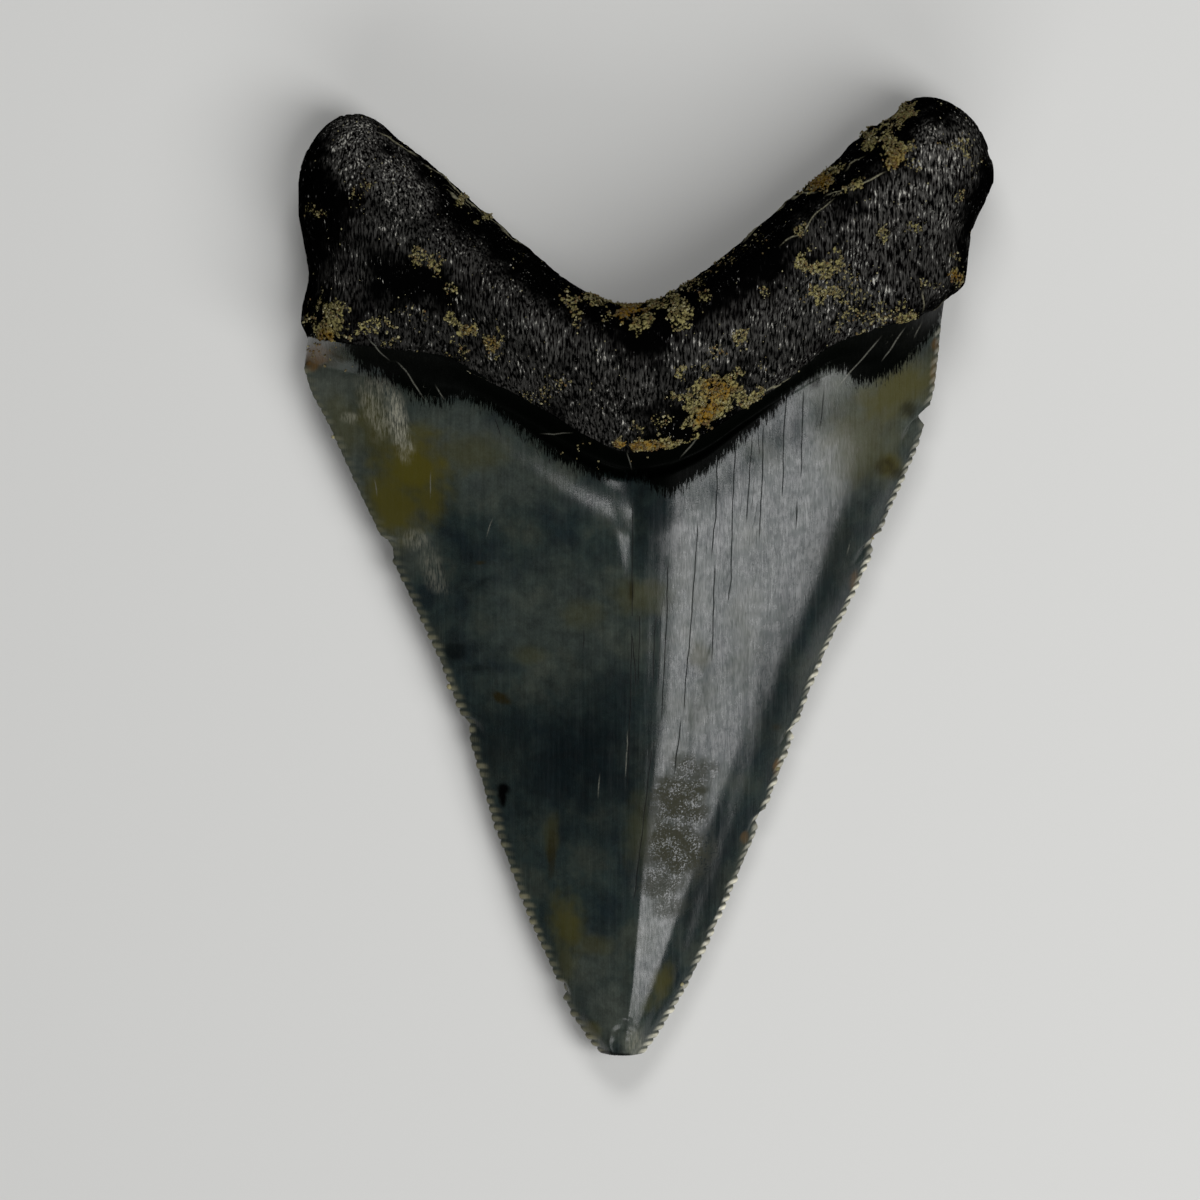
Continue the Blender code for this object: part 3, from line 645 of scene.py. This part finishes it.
# Where the black bone is worn grey, and where its lit faces are painted grey as a highlight, as the marks above
wornAndLitBone = [
    (358, 145, 26, 30, -30, 1.0), (356, 172, 20, 20, 0, 0.7), (392, 180, 26, 26, -35, 0.9),
    (408, 205, 26, 26, 0, 0.8), (392, 230, 34, 26, 0, 0.5), (440, 248, 24, 20, -40, 0.6),
    (470, 268, 22, 20, -40, 0.5), (500, 300, 34, 22, -40, 0.5), (545, 335, 40, 22, -40, 0.7),
    (585, 360, 34, 24, -35, 0.5), (620, 390, 50, 24, 0, 0.45), (350, 280, 22, 34, 0, 0.35),
    (520, 375, 60, 26, -25, 0.45), (600, 425, 40, 20, -10, 0.45), (430, 335, 80, 24, -5, 0.3),
    (935, 165, 30, 34, 10, 1.0), (960, 150, 20, 30, 0, 0.6), (905, 200, 48, 26, 20, 0.8),
    (935, 215, 22, 40, 0, 0.8), (880, 240, 60, 34, 10, 0.6), (930, 260, 22, 40, 0, 0.5),
    (860, 280, 70, 34, 10, 0.6), (790, 320, 70, 34, 25, 0.6), (720, 350, 60, 24, 25, 0.6),
    (780, 370, 50, 18, 32, 0.4), (660, 390, 40, 20, 0, 0.3), (850, 330, 50, 14, 15, 0.5),
    (820, 240, 30, 22, 30, 0.4),
]
# Worn rims and torn edges that catch the light, as photo points; they stand proud and are also painted pale as a
# highlight
rootRims = [
    [(376, 132), (392, 144), (404, 152), (420, 160)], [(420, 163), (440, 177), (456, 192), (470, 206), (486, 219)],
    [(446, 191), (456, 200), (468, 209)], [(480, 210), (498, 228), (512, 242), (528, 250), (542, 260), (556, 273)],
    [(740, 244), (760, 226), (780, 211), (800, 198), (818, 196)], [(836, 160), (848, 147), (860, 139)],
    [(840, 178), (850, 168), (864, 160)], [(798, 242), (806, 226), (818, 216), (834, 204)],
    [(820, 202), (838, 197), (852, 190), (866, 186), (884, 177)], [(776, 254), (790, 243), (800, 240)],
    [(744, 402), (760, 395), (776, 386), (790, 380), (802, 373), (809, 366), (817, 370)],
    [(462, 367), (480, 379), (500, 393), (507, 401)], [(612, 318), (622, 323), (632, 326)],
    [(922, 318), (934, 308), (944, 298)], [(919, 290), (920, 316)],
]


def rootSide(side, rows):
    columns = rootSkin["columns"][side]
    even = np.linspace(0, 1, columns)
    across = np.repeat((0.75 * even + 0.25 * (0.5 - 0.5 * np.cos(np.pi * even)))[None, :], len(rows), axis=0)
    up = np.repeat(rows[:, None], columns, axis=1)
    onTop = np.clip(up, 0, 1)
    flat = plans[side]["root"](across, onTop)
    height = (rootTop if side == "tongue" else rootUnder)(across, onTop)
    if side == "tongue":
        places = np.concatenate([flat, np.full(flat.shape[:2] + (1,), 3.0)], axis=-1)
        rounding = sideRounding(across, onTop, toothShape["sideRounding"])
        height += toothShape["lumps"] * noiseAt(places, 6.0) * rounding * ease((1 - onTop) / 0.2)
    # the skirt hangs inside the lip, down past the band's end
    back, down = rootSkin["skirt"]
    below = np.clip(-up, 0, 1)
    flat[..., 1] += back * below
    if side == "tongue":
        height = height - below * (down + height - bandTop(across, np.ones_like(up)))
    else:
        height = height + below * down / 2
    return np.concatenate([flat, height[..., None]], axis=-1), up


def evenRows(count):
    # Rows an even way apart up a lobe, where the root is steepest
    fine = np.linspace(0, 1, 2000)
    at = np.full_like(fine, 0.3)
    flat, height = plans["tongue"]["root"](at, fine), rootTop(at, fine)
    steps = np.linalg.norm(np.diff(np.concatenate([flat, height[:, None]], axis=1), axis=0), axis=1)
    reach = np.concatenate([[0], np.cumsum(steps)])
    return np.interp(np.linspace(0, reach[-1], count), reach, fine)


def buildRoot():
    rows = np.concatenate([[-1.0, -0.5, -0.12], evenRows(rootSkin["rows"])])
    tongue, tongueUp = rootSide("tongue", rows)
    labial, labialUp = rootSide("labial", rows)
    points, faces, onTongue = joinSides(tongue, labial, -1)
    up = np.concatenate([tongueUp.ravel(), labialUp.ravel()])
    normals = normalsOf(points, faces)
    sand = spotMask(rootSand, points, 1.1, 1.2, 50.0, 0.4) * onTongue
    underSand = 0.5 * ease((noiseAt(points, 5.0, 61) + 0.7 * noiseAt(points, 1.2, 62) - 0.25) / 0.3) * ~onTongue
    sand = np.maximum(sand, underSand)
    pores = ease((noiseAt(points, rootSkin["poresMm"], 43) - 0.22) / 0.2) * (1 - sand)
    rimGap, rimHere = lineGaps(rootRims, points, 0.25, 45)
    scratchGap, scratchHere = lineGaps(bandScratches, points, 0.12, 37)
    relief = rootSkin["lumps"] * noiseAt(points, rootSkin["lumpsMm"], 40)
    relief += rootSkin["fibres"] * noiseAt(points, rootSkin["fibresMm"], 41)
    relief += 0.5 * rootSkin["fibres"] * noiseAt(points, (0.8, 0.9, 0.8), 42)
    relief += rootSkin["crust"] * sand * (0.5 + 1.1 * noiseAt(points, 0.5, 44))
    relief += rootSkin["rims"] * rimHere * onTongue * ease(1 - abs(rimGap) / 0.45)
    relief -= rootSkin["pores"] * pores
    points = points + normals * (relief * (up >= 0))[:, None]
    # the worn mask is wear and also a painted highlight on the lit faces
    masks = {"sand": sand, "orange": spotMask(orangeSand, points, 0.6, 1.0, 52.0) * onTongue,
             "worn": spotMask(wornAndLitBone, points, 0.5, 2.0, 54.0, 1.0) * onTongue, "rimGap": rimGap,
             "rimHere": rimHere * onTongue, "scratchGap": scratchGap, "scratchHere": scratchHere * onTongue}
    root = makePiece("tooth_root", points, faces, masks, 80)
    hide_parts("tooth")
    return root, (points, normals, sand * (onTongue & (up > 0)))


def linear(hexColour):
    channels = [int(hexColour[place:place + 2], 16) / 255 for place in (1, 3, 5)]
    return tuple(c / 12.92 if c <= 0.04045 else ((c + 0.055) / 1.055) ** 2.4 for c in channels) + (1.0,)


def addNode(tree, kind, inputs, output=0, **settings):
    # Adds a node with its settings and links, and gives one of its outputs
    node = tree.nodes.new("ShaderNode" + kind)
    for name, value in settings.items():
        setattr(node, name, value)
    for socket, value in inputs.items():
        if isinstance(value, bpy.types.NodeSocket):
            tree.links.new(value, node.inputs[socket])
        else:
            node.inputs[socket].default_value = value
    return node.outputs[output]


def newMaterial(name):
    material = bpy.data.materials.new(name)
    material.use_nodes = True
    return material, material.node_tree, material.node_tree.nodes["Principled BSDF"]


def thinLine(tree, gap, here, halfWidth):
    away = addNode(tree, "Math", {0: gap}, operation="ABSOLUTE")
    near = addNode(tree, "MapRange", {0: away, 1: 0.0, 2: halfWidth, 3: 1.0, 4: 0.0})
    return addNode(tree, "Math", {0: near, 1: here}, operation="MULTIPLY")


# Fluorapatite enamel, grown smooth, stained slate in the sea bed and worn to a satin gloss:
# a dark clouded stone with a broad soft sheen that runs in fine streaks along the tooth
enamelFinish = {
    "colours": {
        # the dim tone darkens patches of enamel and also serves as painted shade
        "deep": "#141d1f", "slate": "#1f2826", "cloud": "#2d322c", "darkAndShade": "#081012", "milky": "#42463f",
        # the pale tone is partly a painted highlight
        "olive": "#423d0e", "brown": "#1d1907", "soot": "#020202", "pale": "#8d8b7c", "speckle": "#303026",
        # the near-white tone of the right ribs is a painted highlight
        "rust": "#6b480f", "ribs": "#6b6853", "ribsRightHighlight": "#d6d2be", "edge": "#3d4038", "band": "#020302",
        "underBand": "#100f0d", "scratch": "#5e5e56", "crack": "#030303",
    },
    "ior": 1.62,
    "roughness": (0.18, 0.32),   # from one streak to the next
    "halfCrackMm": 0.07, "halfScratchMm": 0.08,  # half of each line's width, about a pixel so that it shows
    # Each pattern: size in mm across, along and through the tooth, turn in radians, detail, roughness. Brush marks
    # and grain are finer on a real tooth; they are drawn about as coarse as a pixel, 0.1 mm, so that they show.
    "patterns": {
        "clouds": ((5.0, 5.0, 5.0), 0, 5.0, 0.6), "mottle": ((1.2, 1.2, 1.2), 0, 6.0, 0.7),
        "streaks": ((0.30, 9.0, 5.0), 0, 4.0, 0.65), "brushed": ((0.12, 0.9, 5.0), 0.12, 4.0, 0.7),
        "grain": ((0.16, 0.16, 0.16), 0, 3.0, 0.6),
    },
}


def enamelMaterial():
    look = enamelFinish
    tone = {name: linear(colour) for name, colour in look["colours"].items()}
    material, tree, shader = newMaterial("satin_fossil_enamel")
    names = [*crownMarks, "edge", "ribs", "onRight", "band", "labial", "crackGap", "crackHere",
             "scratchGap", "scratchHere"]
    mask = {name: addNode(tree, "Attribute", {}, "Fac", attribute_name=name) for name in names}
    place = addNode(tree, "TexCoord", {}, "Object")
    inMm = addNode(tree, "Mapping", {"Vector": place, "Scale": (1 / mm, 1 / mm, 1 / mm)})
    patterns = []
    for size, turn, detail, roughness in look["patterns"].values():
        scale = [1 / length for length in size]
        scaled = addNode(tree, "Mapping", {"Vector": inMm, "Rotation": (0, 0, turn), "Scale": scale})
        inputs = {"Vector": scaled, "Scale": 1.0, "Detail": detail, "Roughness": roughness}
        patterns.append(addNode(tree, "TexNoise", inputs))
    clouds, mottle, streaks, brushed, grain = patterns

    # clouded ground, lighter and darker in places, with dapples and streaks; the dark patches are partly painted shade
    cloudy = addNode(tree, "MapRange", {0: clouds, 1: 0.36, 2: 0.5})
    cloudier = addNode(tree, "MapRange", {0: clouds, 1: 0.5, 2: 0.66})
    colour = tone["deep"]
    for amount, name in ((cloudy, "slate"), (cloudier, "cloud"), (mask["darkAndShade"], "darkAndShade"), (mask["milky"], "milky")):
        colour = addNode(tree, "Mix", {0: amount, 6: colour, 7: tone[name]}, 2, data_type="RGBA")
    for pattern, low, high in ((mottle, 0.68, 1.34), (streaks, 0.88, 1.12), (grain, 0.84, 1.16)):
        shade = addNode(tree, "MapRange", {0: pattern, 1: 0.3, 2: 0.7, 3: low, 4: high})
        colour = addNode(tree, "VectorMath", {0: colour, "Scale": shade}, operation="SCALE")

    # stains and wear, each broken up by a pattern, with pale streaks that are partly a painted highlight and ribs that
    # carry a painted highlight on the right, then cracks, the black band and scratches over it
    broken = addNode(tree, "MapRange", {0: mottle, 1: 0.35, 2: 0.6, 3: 0.5, 4: 1.1})
    dullness = addNode(tree, "Math", {0: grain, 1: 1.5, 2: mottle}, operation="MULTIPLY_ADD")
    flecked = addNode(tree, "MapRange", {0: dullness, 1: 1.08, 2: 1.22})
    speckle = addNode(tree, "Math", {0: mask["speckle"], 1: flecked}, operation="MULTIPLY")
    brushy = addNode(tree, "MapRange", {0: brushed, 1: 0.40, 2: 0.62})
    gritty = addNode(tree, "MapRange", {0: grain, 1: 0.35, 2: 0.5, 3: 0.3, 4: 1.0})
    feathered = addNode(tree, "Math", {0: brushed, 1: 1.3, 2: mask["band"]}, operation="MULTIPLY_ADD")
    band = addNode(tree, "MapRange", {0: feathered, 1: 1.08, 2: 1.24})
    crack = thinLine(tree, mask["crackGap"], mask["crackHere"], look["halfCrackMm"])
    scratch = thinLine(tree, mask["scratchGap"], mask["scratchHere"], look["halfScratchMm"])
    # the ribs on the right get the brighter tone, a painted highlight from the lamp on that side
    for name, where, other in (("ribs", "onRight", "ribsRightHighlight"), ("band", "labial", "underBand")):
        tone[name] = addNode(tree, "Mix", {0: mask[where], 6: tone[name], 7: tone[other]}, 2, data_type="RGBA")
    for amount, pattern, name in (
        (mask["olive"], 0.9, "olive"), (mask["brown"], broken, "brown"), (mask["pale"], brushy, "pale"),
        (speckle, 1.0, "speckle"), (mask["rust"], broken, "rust"), (mask["edge"], broken, "edge"),
        (mask["ribs"], broken, "ribs"), (mask["soot"], 1.0, "soot"), (crack, 1.0, "crack"),
        (band, 1.0, "band"), (scratch, gritty, "scratch"),
    ):
        share = addNode(tree, "Math", {0: amount, 1: pattern}, operation="MULTIPLY", use_clamp=True)
        colour = addNode(tree, "Mix", {0: share, 6: colour, 7: tone[name]}, 2, data_type="RGBA")
    tree.links.new(colour, shader.inputs["Base Color"])

    smooth, dull = look["roughness"]
    rough = addNode(tree, "MapRange", {0: streaks, 1: 0.3, 2: 0.7, 3: smooth, 4: dull})
    for amount, extra in (
        (mask["olive"], 0.10), (speckle, 0.25), (mask["pale"], 0.12), (band, 0.15), (mask["ribs"], 0.1), (crack, 0.5),
    ):
        rough = addNode(tree, "Math", {0: amount, 1: extra, 2: rough}, operation="MULTIPLY_ADD", use_clamp=True)
    tree.links.new(rough, shader.inputs["Roughness"])
    # the sheen is brushed, and gone from cracks, the black band and dull patches
    sheen = addNode(tree, "MapRange", {0: brushed, 1: 0.35, 2: 0.65, 3: 0.40, 4: 0.84})
    for amount, left in (
        (mottle, 0.1), (crack, 0.0), (band, 0.03), (speckle, 0.1), (mask["olive"], 0.35), (mask["milky"], 0.55),
        (mask["soot"], 0.2),
    ):
        kept = addNode(tree, "MapRange", {0: amount, 1: 0.0, 2: 1.0, 3: 1.0, 4: left})
        sheen = addNode(tree, "Math", {0: sheen, 1: kept}, operation="MULTIPLY")
    tree.links.new(sheen, shader.inputs["Specular IOR Level"])
    normal = addNode(tree, "Bump", {"Height": grain, "Strength": 0.6, "Distance": 0.006 * mm})
    normal = addNode(tree, "Bump", {"Height": brushed, "Strength": 0.6, "Distance": 0.005 * mm, "Normal": normal})
    normal = addNode(tree, "Bump", {"Height": mottle, "Strength": 0.5, "Distance": 0.02 * mm, "Normal": normal})
    tree.links.new(normal, shader.inputs["Normal"])
    shader.inputs["IOR"].default_value = look["ior"]
    return material


# Root bone, fibrous and porous, turned black by phosphate and left as dug:
# dull black with short pale fibres and pores that catch the light, grey where worn and painted grey as a highlight on
# its lit faces, and tan grit stuck in the hollows
rootFinish = {
    "colours": {
        "black": "#020202", "worn": "#504f4c", "fibre": "#a8a69d", "grit": "#2e2912", "gritPale": "#7f784f",
        "orange": "#6e4f0e", "rim": "#7d7a66",
    },
    "ior": 1.55,
    "roughness": (0.45, 0.65),   # from the bright fibres to the dull ones
    "halfRimMm": 0.09,           # half of a rim's width
    # As the enamel's. Fibres and pores are finer in real bone, and drawn a pixel or two wide so that they show.
    "patterns": {
        "patches": ((1.7, 1.7, 1.7), 4.0, 0.6), "strokes": ((0.18, 0.80, 0.18), 2.0, 0.5),
        "specks": ((0.20, 0.20, 0.20), 3.0, 0.65), "grain": ((0.30, 0.30, 0.30), 3.0, 0.6),
    },
}


def rootMaterial():
    look = rootFinish
    tone = {name: linear(colour) for name, colour in look["colours"].items()}
    tone["scratch"] = linear(enamelFinish["colours"]["scratch"])
    material, tree, shader = newMaterial("fibrous_root_bone")
    names = ("sand", "orange", "worn", "rimGap", "rimHere", "scratchGap", "scratchHere")
    mask = {name: addNode(tree, "Attribute", {}, "Fac", attribute_name=name) for name in names}
    place = addNode(tree, "TexCoord", {}, "Object")
    inMm = addNode(tree, "Mapping", {"Vector": place, "Scale": (1 / mm, 1 / mm, 1 / mm)})
    patterns = []
    for size, detail, roughness in look["patterns"].values():
        scaled = addNode(tree, "Mapping", {"Vector": inMm, "Scale": [1 / length for length in size]})
        inputs = {"Vector": scaled, "Scale": 1.0, "Detail": detail, "Roughness": roughness}
        patterns.append(addNode(tree, "TexNoise", inputs))
    patches, strokes, specks, grain = patterns

    # where the bone is worn or patchy, and where its lit faces are painted as a highlight, more of the fine patterns
    # pass their thresholds
    patchy = addNode(tree, "MapRange", {0: patches, 1: 0.35, 2: 0.65, 3: -0.13, 4: -0.01})
    offset = addNode(tree, "Math", {0: mask["worn"], 1: 0.11, 2: patchy}, operation="MULTIPLY_ADD")
    speckSum = addNode(tree, "Math", {0: specks, 1: offset}, operation="ADD")
    strokeSum = addNode(tree, "Math", {0: strokes, 1: offset}, operation="ADD")
    mealy = addNode(tree, "MapRange", {0: strokes, 1: 0.42, 2: 0.62})
    speckled = addNode(tree, "MapRange", {0: speckSum, 1: 0.66, 2: 0.76, 3: 0.0, 4: 0.4})
    stroked = addNode(tree, "MapRange", {0: strokeSum, 1: 0.66, 2: 0.74, 3: 0.0, 4: 0.9})
    gritty = addNode(tree, "MapRange", {0: specks, 1: 0.35, 2: 0.55, 3: 0.2, 4: 1.0})
    rim = thinLine(tree, mask["rimGap"], mask["rimHere"], look["halfRimMm"])
    scratch = thinLine(tree, mask["scratchGap"], mask["scratchHere"], enamelFinish["halfScratchMm"])

    # grit shows where its mask and the grain together pass a threshold, so its edges are ragged
    gritPattern = addNode(tree, "MapRange", {0: grain, 1: 0.42, 2: 0.62})
    orange = addNode(tree, "Math", {0: mask["orange"], 1: gritty}, operation="MULTIPLY")
    for amount, name in ((gritPattern, "gritPale"), (orange, "orange")):
        tone["grit"] = addNode(tree, "Mix", {0: amount, 6: tone["grit"], 7: tone[name]}, 2, data_type="RGBA")
    ragged = addNode(tree, "Math", {0: grain, 1: 2.6, 2: mask["sand"]}, operation="MULTIPLY_ADD")
    sandHere = addNode(tree, "MapRange", {0: ragged, 1: 2.0, 2: 2.3})

    # grey where worn and on the lit faces, partly a painted highlight; pale fibres; rims painted pale as a highlight;
    # scratches and grit
    colour = tone["black"]
    for amount, pattern, name in (
        (mask["worn"], mealy, "worn"), (speckled, 1.0, "fibre"), (stroked, 1.0, "fibre"),
        (rim, gritty, "rim"), (scratch, gritty, "scratch"), (sandHere, 1.0, "grit"),
    ):
        share = addNode(tree, "Math", {0: amount, 1: pattern}, operation="MULTIPLY", use_clamp=True)
        colour = addNode(tree, "Mix", {0: share, 6: colour, 7: tone[name]}, 2, data_type="RGBA")
    tree.links.new(colour, shader.inputs["Base Color"])

    bright, dull = look["roughness"]
    rough = addNode(tree, "MapRange", {0: strokes, 1: 0.3, 2: 0.7, 3: bright, 4: dull})
    rough = addNode(tree, "Math", {0: sandHere, 1: 0.3, 2: rough}, operation="MULTIPLY_ADD")
    tree.links.new(rough, shader.inputs["Roughness"])
    # the open pores of the black bone swallow its sheen, the worn fibres keep theirs
    sheen = addNode(tree, "MapRange", {0: strokeSum, 1: 0.60, 2: 0.76, 3: 0.0, 4: 0.5})
    tree.links.new(sheen, shader.inputs["Specular IOR Level"])
    normal = addNode(tree, "Bump", {"Height": strokes, "Strength": 0.8, "Distance": 0.12 * mm})
    normal = addNode(tree, "Bump", {"Height": grain, "Strength": 0.7, "Distance": 0.10 * mm, "Normal": normal})
    tree.links.new(normal, shader.inputs["Normal"])
    shader.inputs["IOR"].default_value = look["ior"]
    return material


# Phosphate sand, water-worn grains cemented in the hollows: dull, speckled tan to rust
sandFinish = {
    "colours": {"rust": "#50390d", "tan": "#544c28", "bone": "#96906e"},
    "ior": 1.52, "roughness": 0.8,
    "grains": 3800, "radiusMm": (0.05, 0.15),
    "sunk": 0.35,                # share of a grain that is in the crust
    "scatterMm": 0.06,           # how far a grain may lie from its point
    "tone": (0.45, 0.24),        # mean and spread, 0 is rust and 1 is bone
    "orangeShift": 0.40,         # how far an orange crust moves it to rust
    "looseShare": 0.08, "looseRadiusMm": (0.04, 0.10), "looseTone": (0.4, 1.0),
}
# Single beads stuck to the cutting edge: photo x and y, radius in mm, height over the edge in mm, tone
edgeBeads = [(915, 429, 0.42, 0.5, 0.72), (682, 985, 0.25, 0.3, 0.9), (677, 997, 0.3, 0.3, 0.9),
             (873, 538, 0.2, 0.4, 0.8), (449, 687, 0.3, 0.3, 0.75), (333, 437, 0.22, 0.4, 0.8),
             (778, 769, 0.3, 0.3, 0.6)]


def sandMaterial():
    look = sandFinish
    tones = {name: linear(colour) for name, colour in look["colours"].items()}
    material, tree, shader = newMaterial("cemented_phosphate_sand")
    tone = addNode(tree, "Attribute", {}, "Fac", attribute_name="tone")
    colour = tones["rust"]
    for low, high, name in ((0.0, 0.45, "tan"), (0.45, 1.0, "bone")):
        share = addNode(tree, "MapRange", {0: tone, 1: low, 2: high})
        colour = addNode(tree, "Mix", {0: share, 6: colour, 7: tones[name]}, 2, data_type="RGBA")
    tree.links.new(colour, shader.inputs["Base Color"])
    shader.inputs["Roughness"].default_value = look["roughness"]
    shader.inputs["IOR"].default_value = look["ior"]
    return material


def lumpyGrains(grains, rng):
    # Points, faces and tones of all grains: an icosphere each, turned, stretched and made lumpy
    template = bmesh.new()
    bmesh.ops.create_icosphere(template, subdivisions=1, radius=1.0)
    shape = np.array([vert.co[:] for vert in template.verts])
    corners = np.array([[vert.index for vert in face.verts] for face in template.faces])
    template.free()
    verts, faces, tones = [], [], []
    for index, (middle, radius, tone) in enumerate(grains):
        turn = np.linalg.qr(rng.normal(size=(3, 3)))[0]
        turn[:, 0] *= np.sign(np.linalg.det(turn))
        lumpy = shape * rng.uniform(0.8, 1.15, (len(shape), 1)) * rng.uniform(0.65, 1.2, 3)
        verts.append(lumpy * radius @ turn.T + middle)
        faces.append(corners + index * len(shape))
        tones.append(np.full(len(shape), tone))
    return np.concatenate(verts), np.concatenate(faces).tolist(), np.concatenate(tones)


def buildSand(grounds):
    look = sandFinish
    points, normals, sand = [np.concatenate(parts) for parts in zip(*grounds)]
    orange = spotMask(orangeSand, points, 0.6, 1.0, 52.0)
    rng = np.random.default_rng(11)
    weight = ease((sand - 0.15) / 0.85) * ease((noiseAt(points, 0.55, 63) + 0.25) / 0.4)
    anywhere = rootSkin["columns"]["tongue"] * (rootSkin["rows"] + 3)
    looseCount = int(look["grains"] * look["looseShare"])
    crusted = rng.choice(len(points), look["grains"] - looseCount, p=weight / weight.sum())
    grains = []  # middle, radius, tone
    for spot in crusted:
        radius = rng.uniform(*look["radiusMm"])
        middle = points[spot] + normals[spot] * radius * (0.5 - look["sunk"]) + rng.normal(0, look["scatterMm"], 3)
        grains.append((middle, radius, np.clip(rng.normal(*look["tone"]) - look["orangeShift"] * orange[spot], 0, 1)))
    for spot in rng.integers(0, anywhere, looseCount):
        grains.append((points[spot], rng.uniform(*look["looseRadiusMm"]), rng.uniform(*look["looseTone"])))
    for px, py, radius, height, tone in edgeBeads:
        flat = photoPoint(px, py)
        nearest = np.argmin(np.hypot(*(points[:, :2] - flat).T) - 0.001 * points[:, 2])
        grains.append((np.array([*flat, points[nearest, 2] + height - radius]), radius, tone))
    verts, faces, tones = lumpyGrains(grains, rng)
    return makePiece("sand_crust", verts, faces, {"tone": tones}, 80)


crown, crownGround = buildCrown()
root, rootGround = buildRoot()
sandCrust = buildSand([rootGround, crownGround])
crown.data.materials.append(enamelMaterial())
root.data.materials.append(rootMaterial())
sandCrust.data.materials.append(sandMaterial())
print("pieces built and finished")

# Matt white laminate, pressed smooth: an even pale ground without gloss
floorFinish = {"white": "#cdcdcb", "size": 2.4, "roughness": 0.75, "gap": 0.00002}


def buildFloor():
    under = cadBox[0][2] - floorFinish["gap"]
    bpy.ops.mesh.primitive_plane_add(size=floorFinish["size"], location=(0, 0, under))
    floor = bpy.context.object
    floor.name = "floor"
    material, tree, shader = newMaterial("matt_white_laminate")
    shader.inputs["Base Color"].default_value = linear(floorFinish["white"])
    shader.inputs["Roughness"].default_value = floorFinish["roughness"]
    floor.data.materials.append(material)


# Soft boxes aimed at the tooth, placed by their tilt from straight overhead towards +X and +Y
studio = {
    "boxes": {
        "key": {"tiltX": 30, "tiltY": -14, "distance": 0.50, "size": (0.22, 0.44), "glow": 5.6},
        "neck": {"tiltX": -2, "tiltY": 37, "distance": 0.55, "size": (0.26, 0.15), "glow": 8.5},
        "front": {"tiltX": 0, "tiltY": -63, "distance": 0.85, "size": (0.9, 0.5), "glow": 3.0},
    },
    "world": 0.04,
    "lens": 230, "sensor": 36, "clipEnd": 10, "outlineHeight": 4.5,
}


def buildStudio():
    for name, box in studio["boxes"].items():
        lamp = bpy.data.lights.new(name, "AREA")
        lamp.shape = "RECTANGLE"
        lamp.size, lamp.size_y = box["size"]
        lamp.energy = box["glow"] * math.pi * lamp.size * lamp.size_y
        holder = bpy.data.objects.new(name, lamp)
        away = Vector((math.tan(math.radians(box["tiltX"])), math.tan(math.radians(box["tiltY"])), 1)).normalized()
        holder.location = away * box["distance"]
        holder.rotation_euler = away.to_track_quat("Z", "Y").to_euler()
        bpy.context.scene.collection.objects.link(holder)
    world = bpy.data.worlds.new("studio")
    world.use_nodes = True
    world.node_tree.nodes["Background"].inputs["Color"].default_value = (1, 1, 1, 1)
    world.node_tree.nodes["Background"].inputs["Strength"].default_value = studio["world"]
    bpy.context.scene.world = world
    bpy.context.scene.view_settings.view_transform = "Standard"


def buildCamera():
    lens = bpy.data.cameras.new("camera")
    lens.lens, lens.sensor_width, lens.clip_end = studio["lens"], studio["sensor"], studio["clipEnd"]
    frameWidth = photo["width"] / photo["pixelsPerMm"] * mm
    distance = frameWidth * studio["lens"] / studio["sensor"] + studio["outlineHeight"] * mm
    camera = bpy.data.objects.new("camera", lens)
    camera.location = (*photoPoint(photo["middle"], photo["middle"]) * mm, distance)
    bpy.context.scene.collection.objects.link(camera)
    bpy.context.scene.camera = camera


buildFloor()
buildStudio()
buildCamera()
print("studio ready")
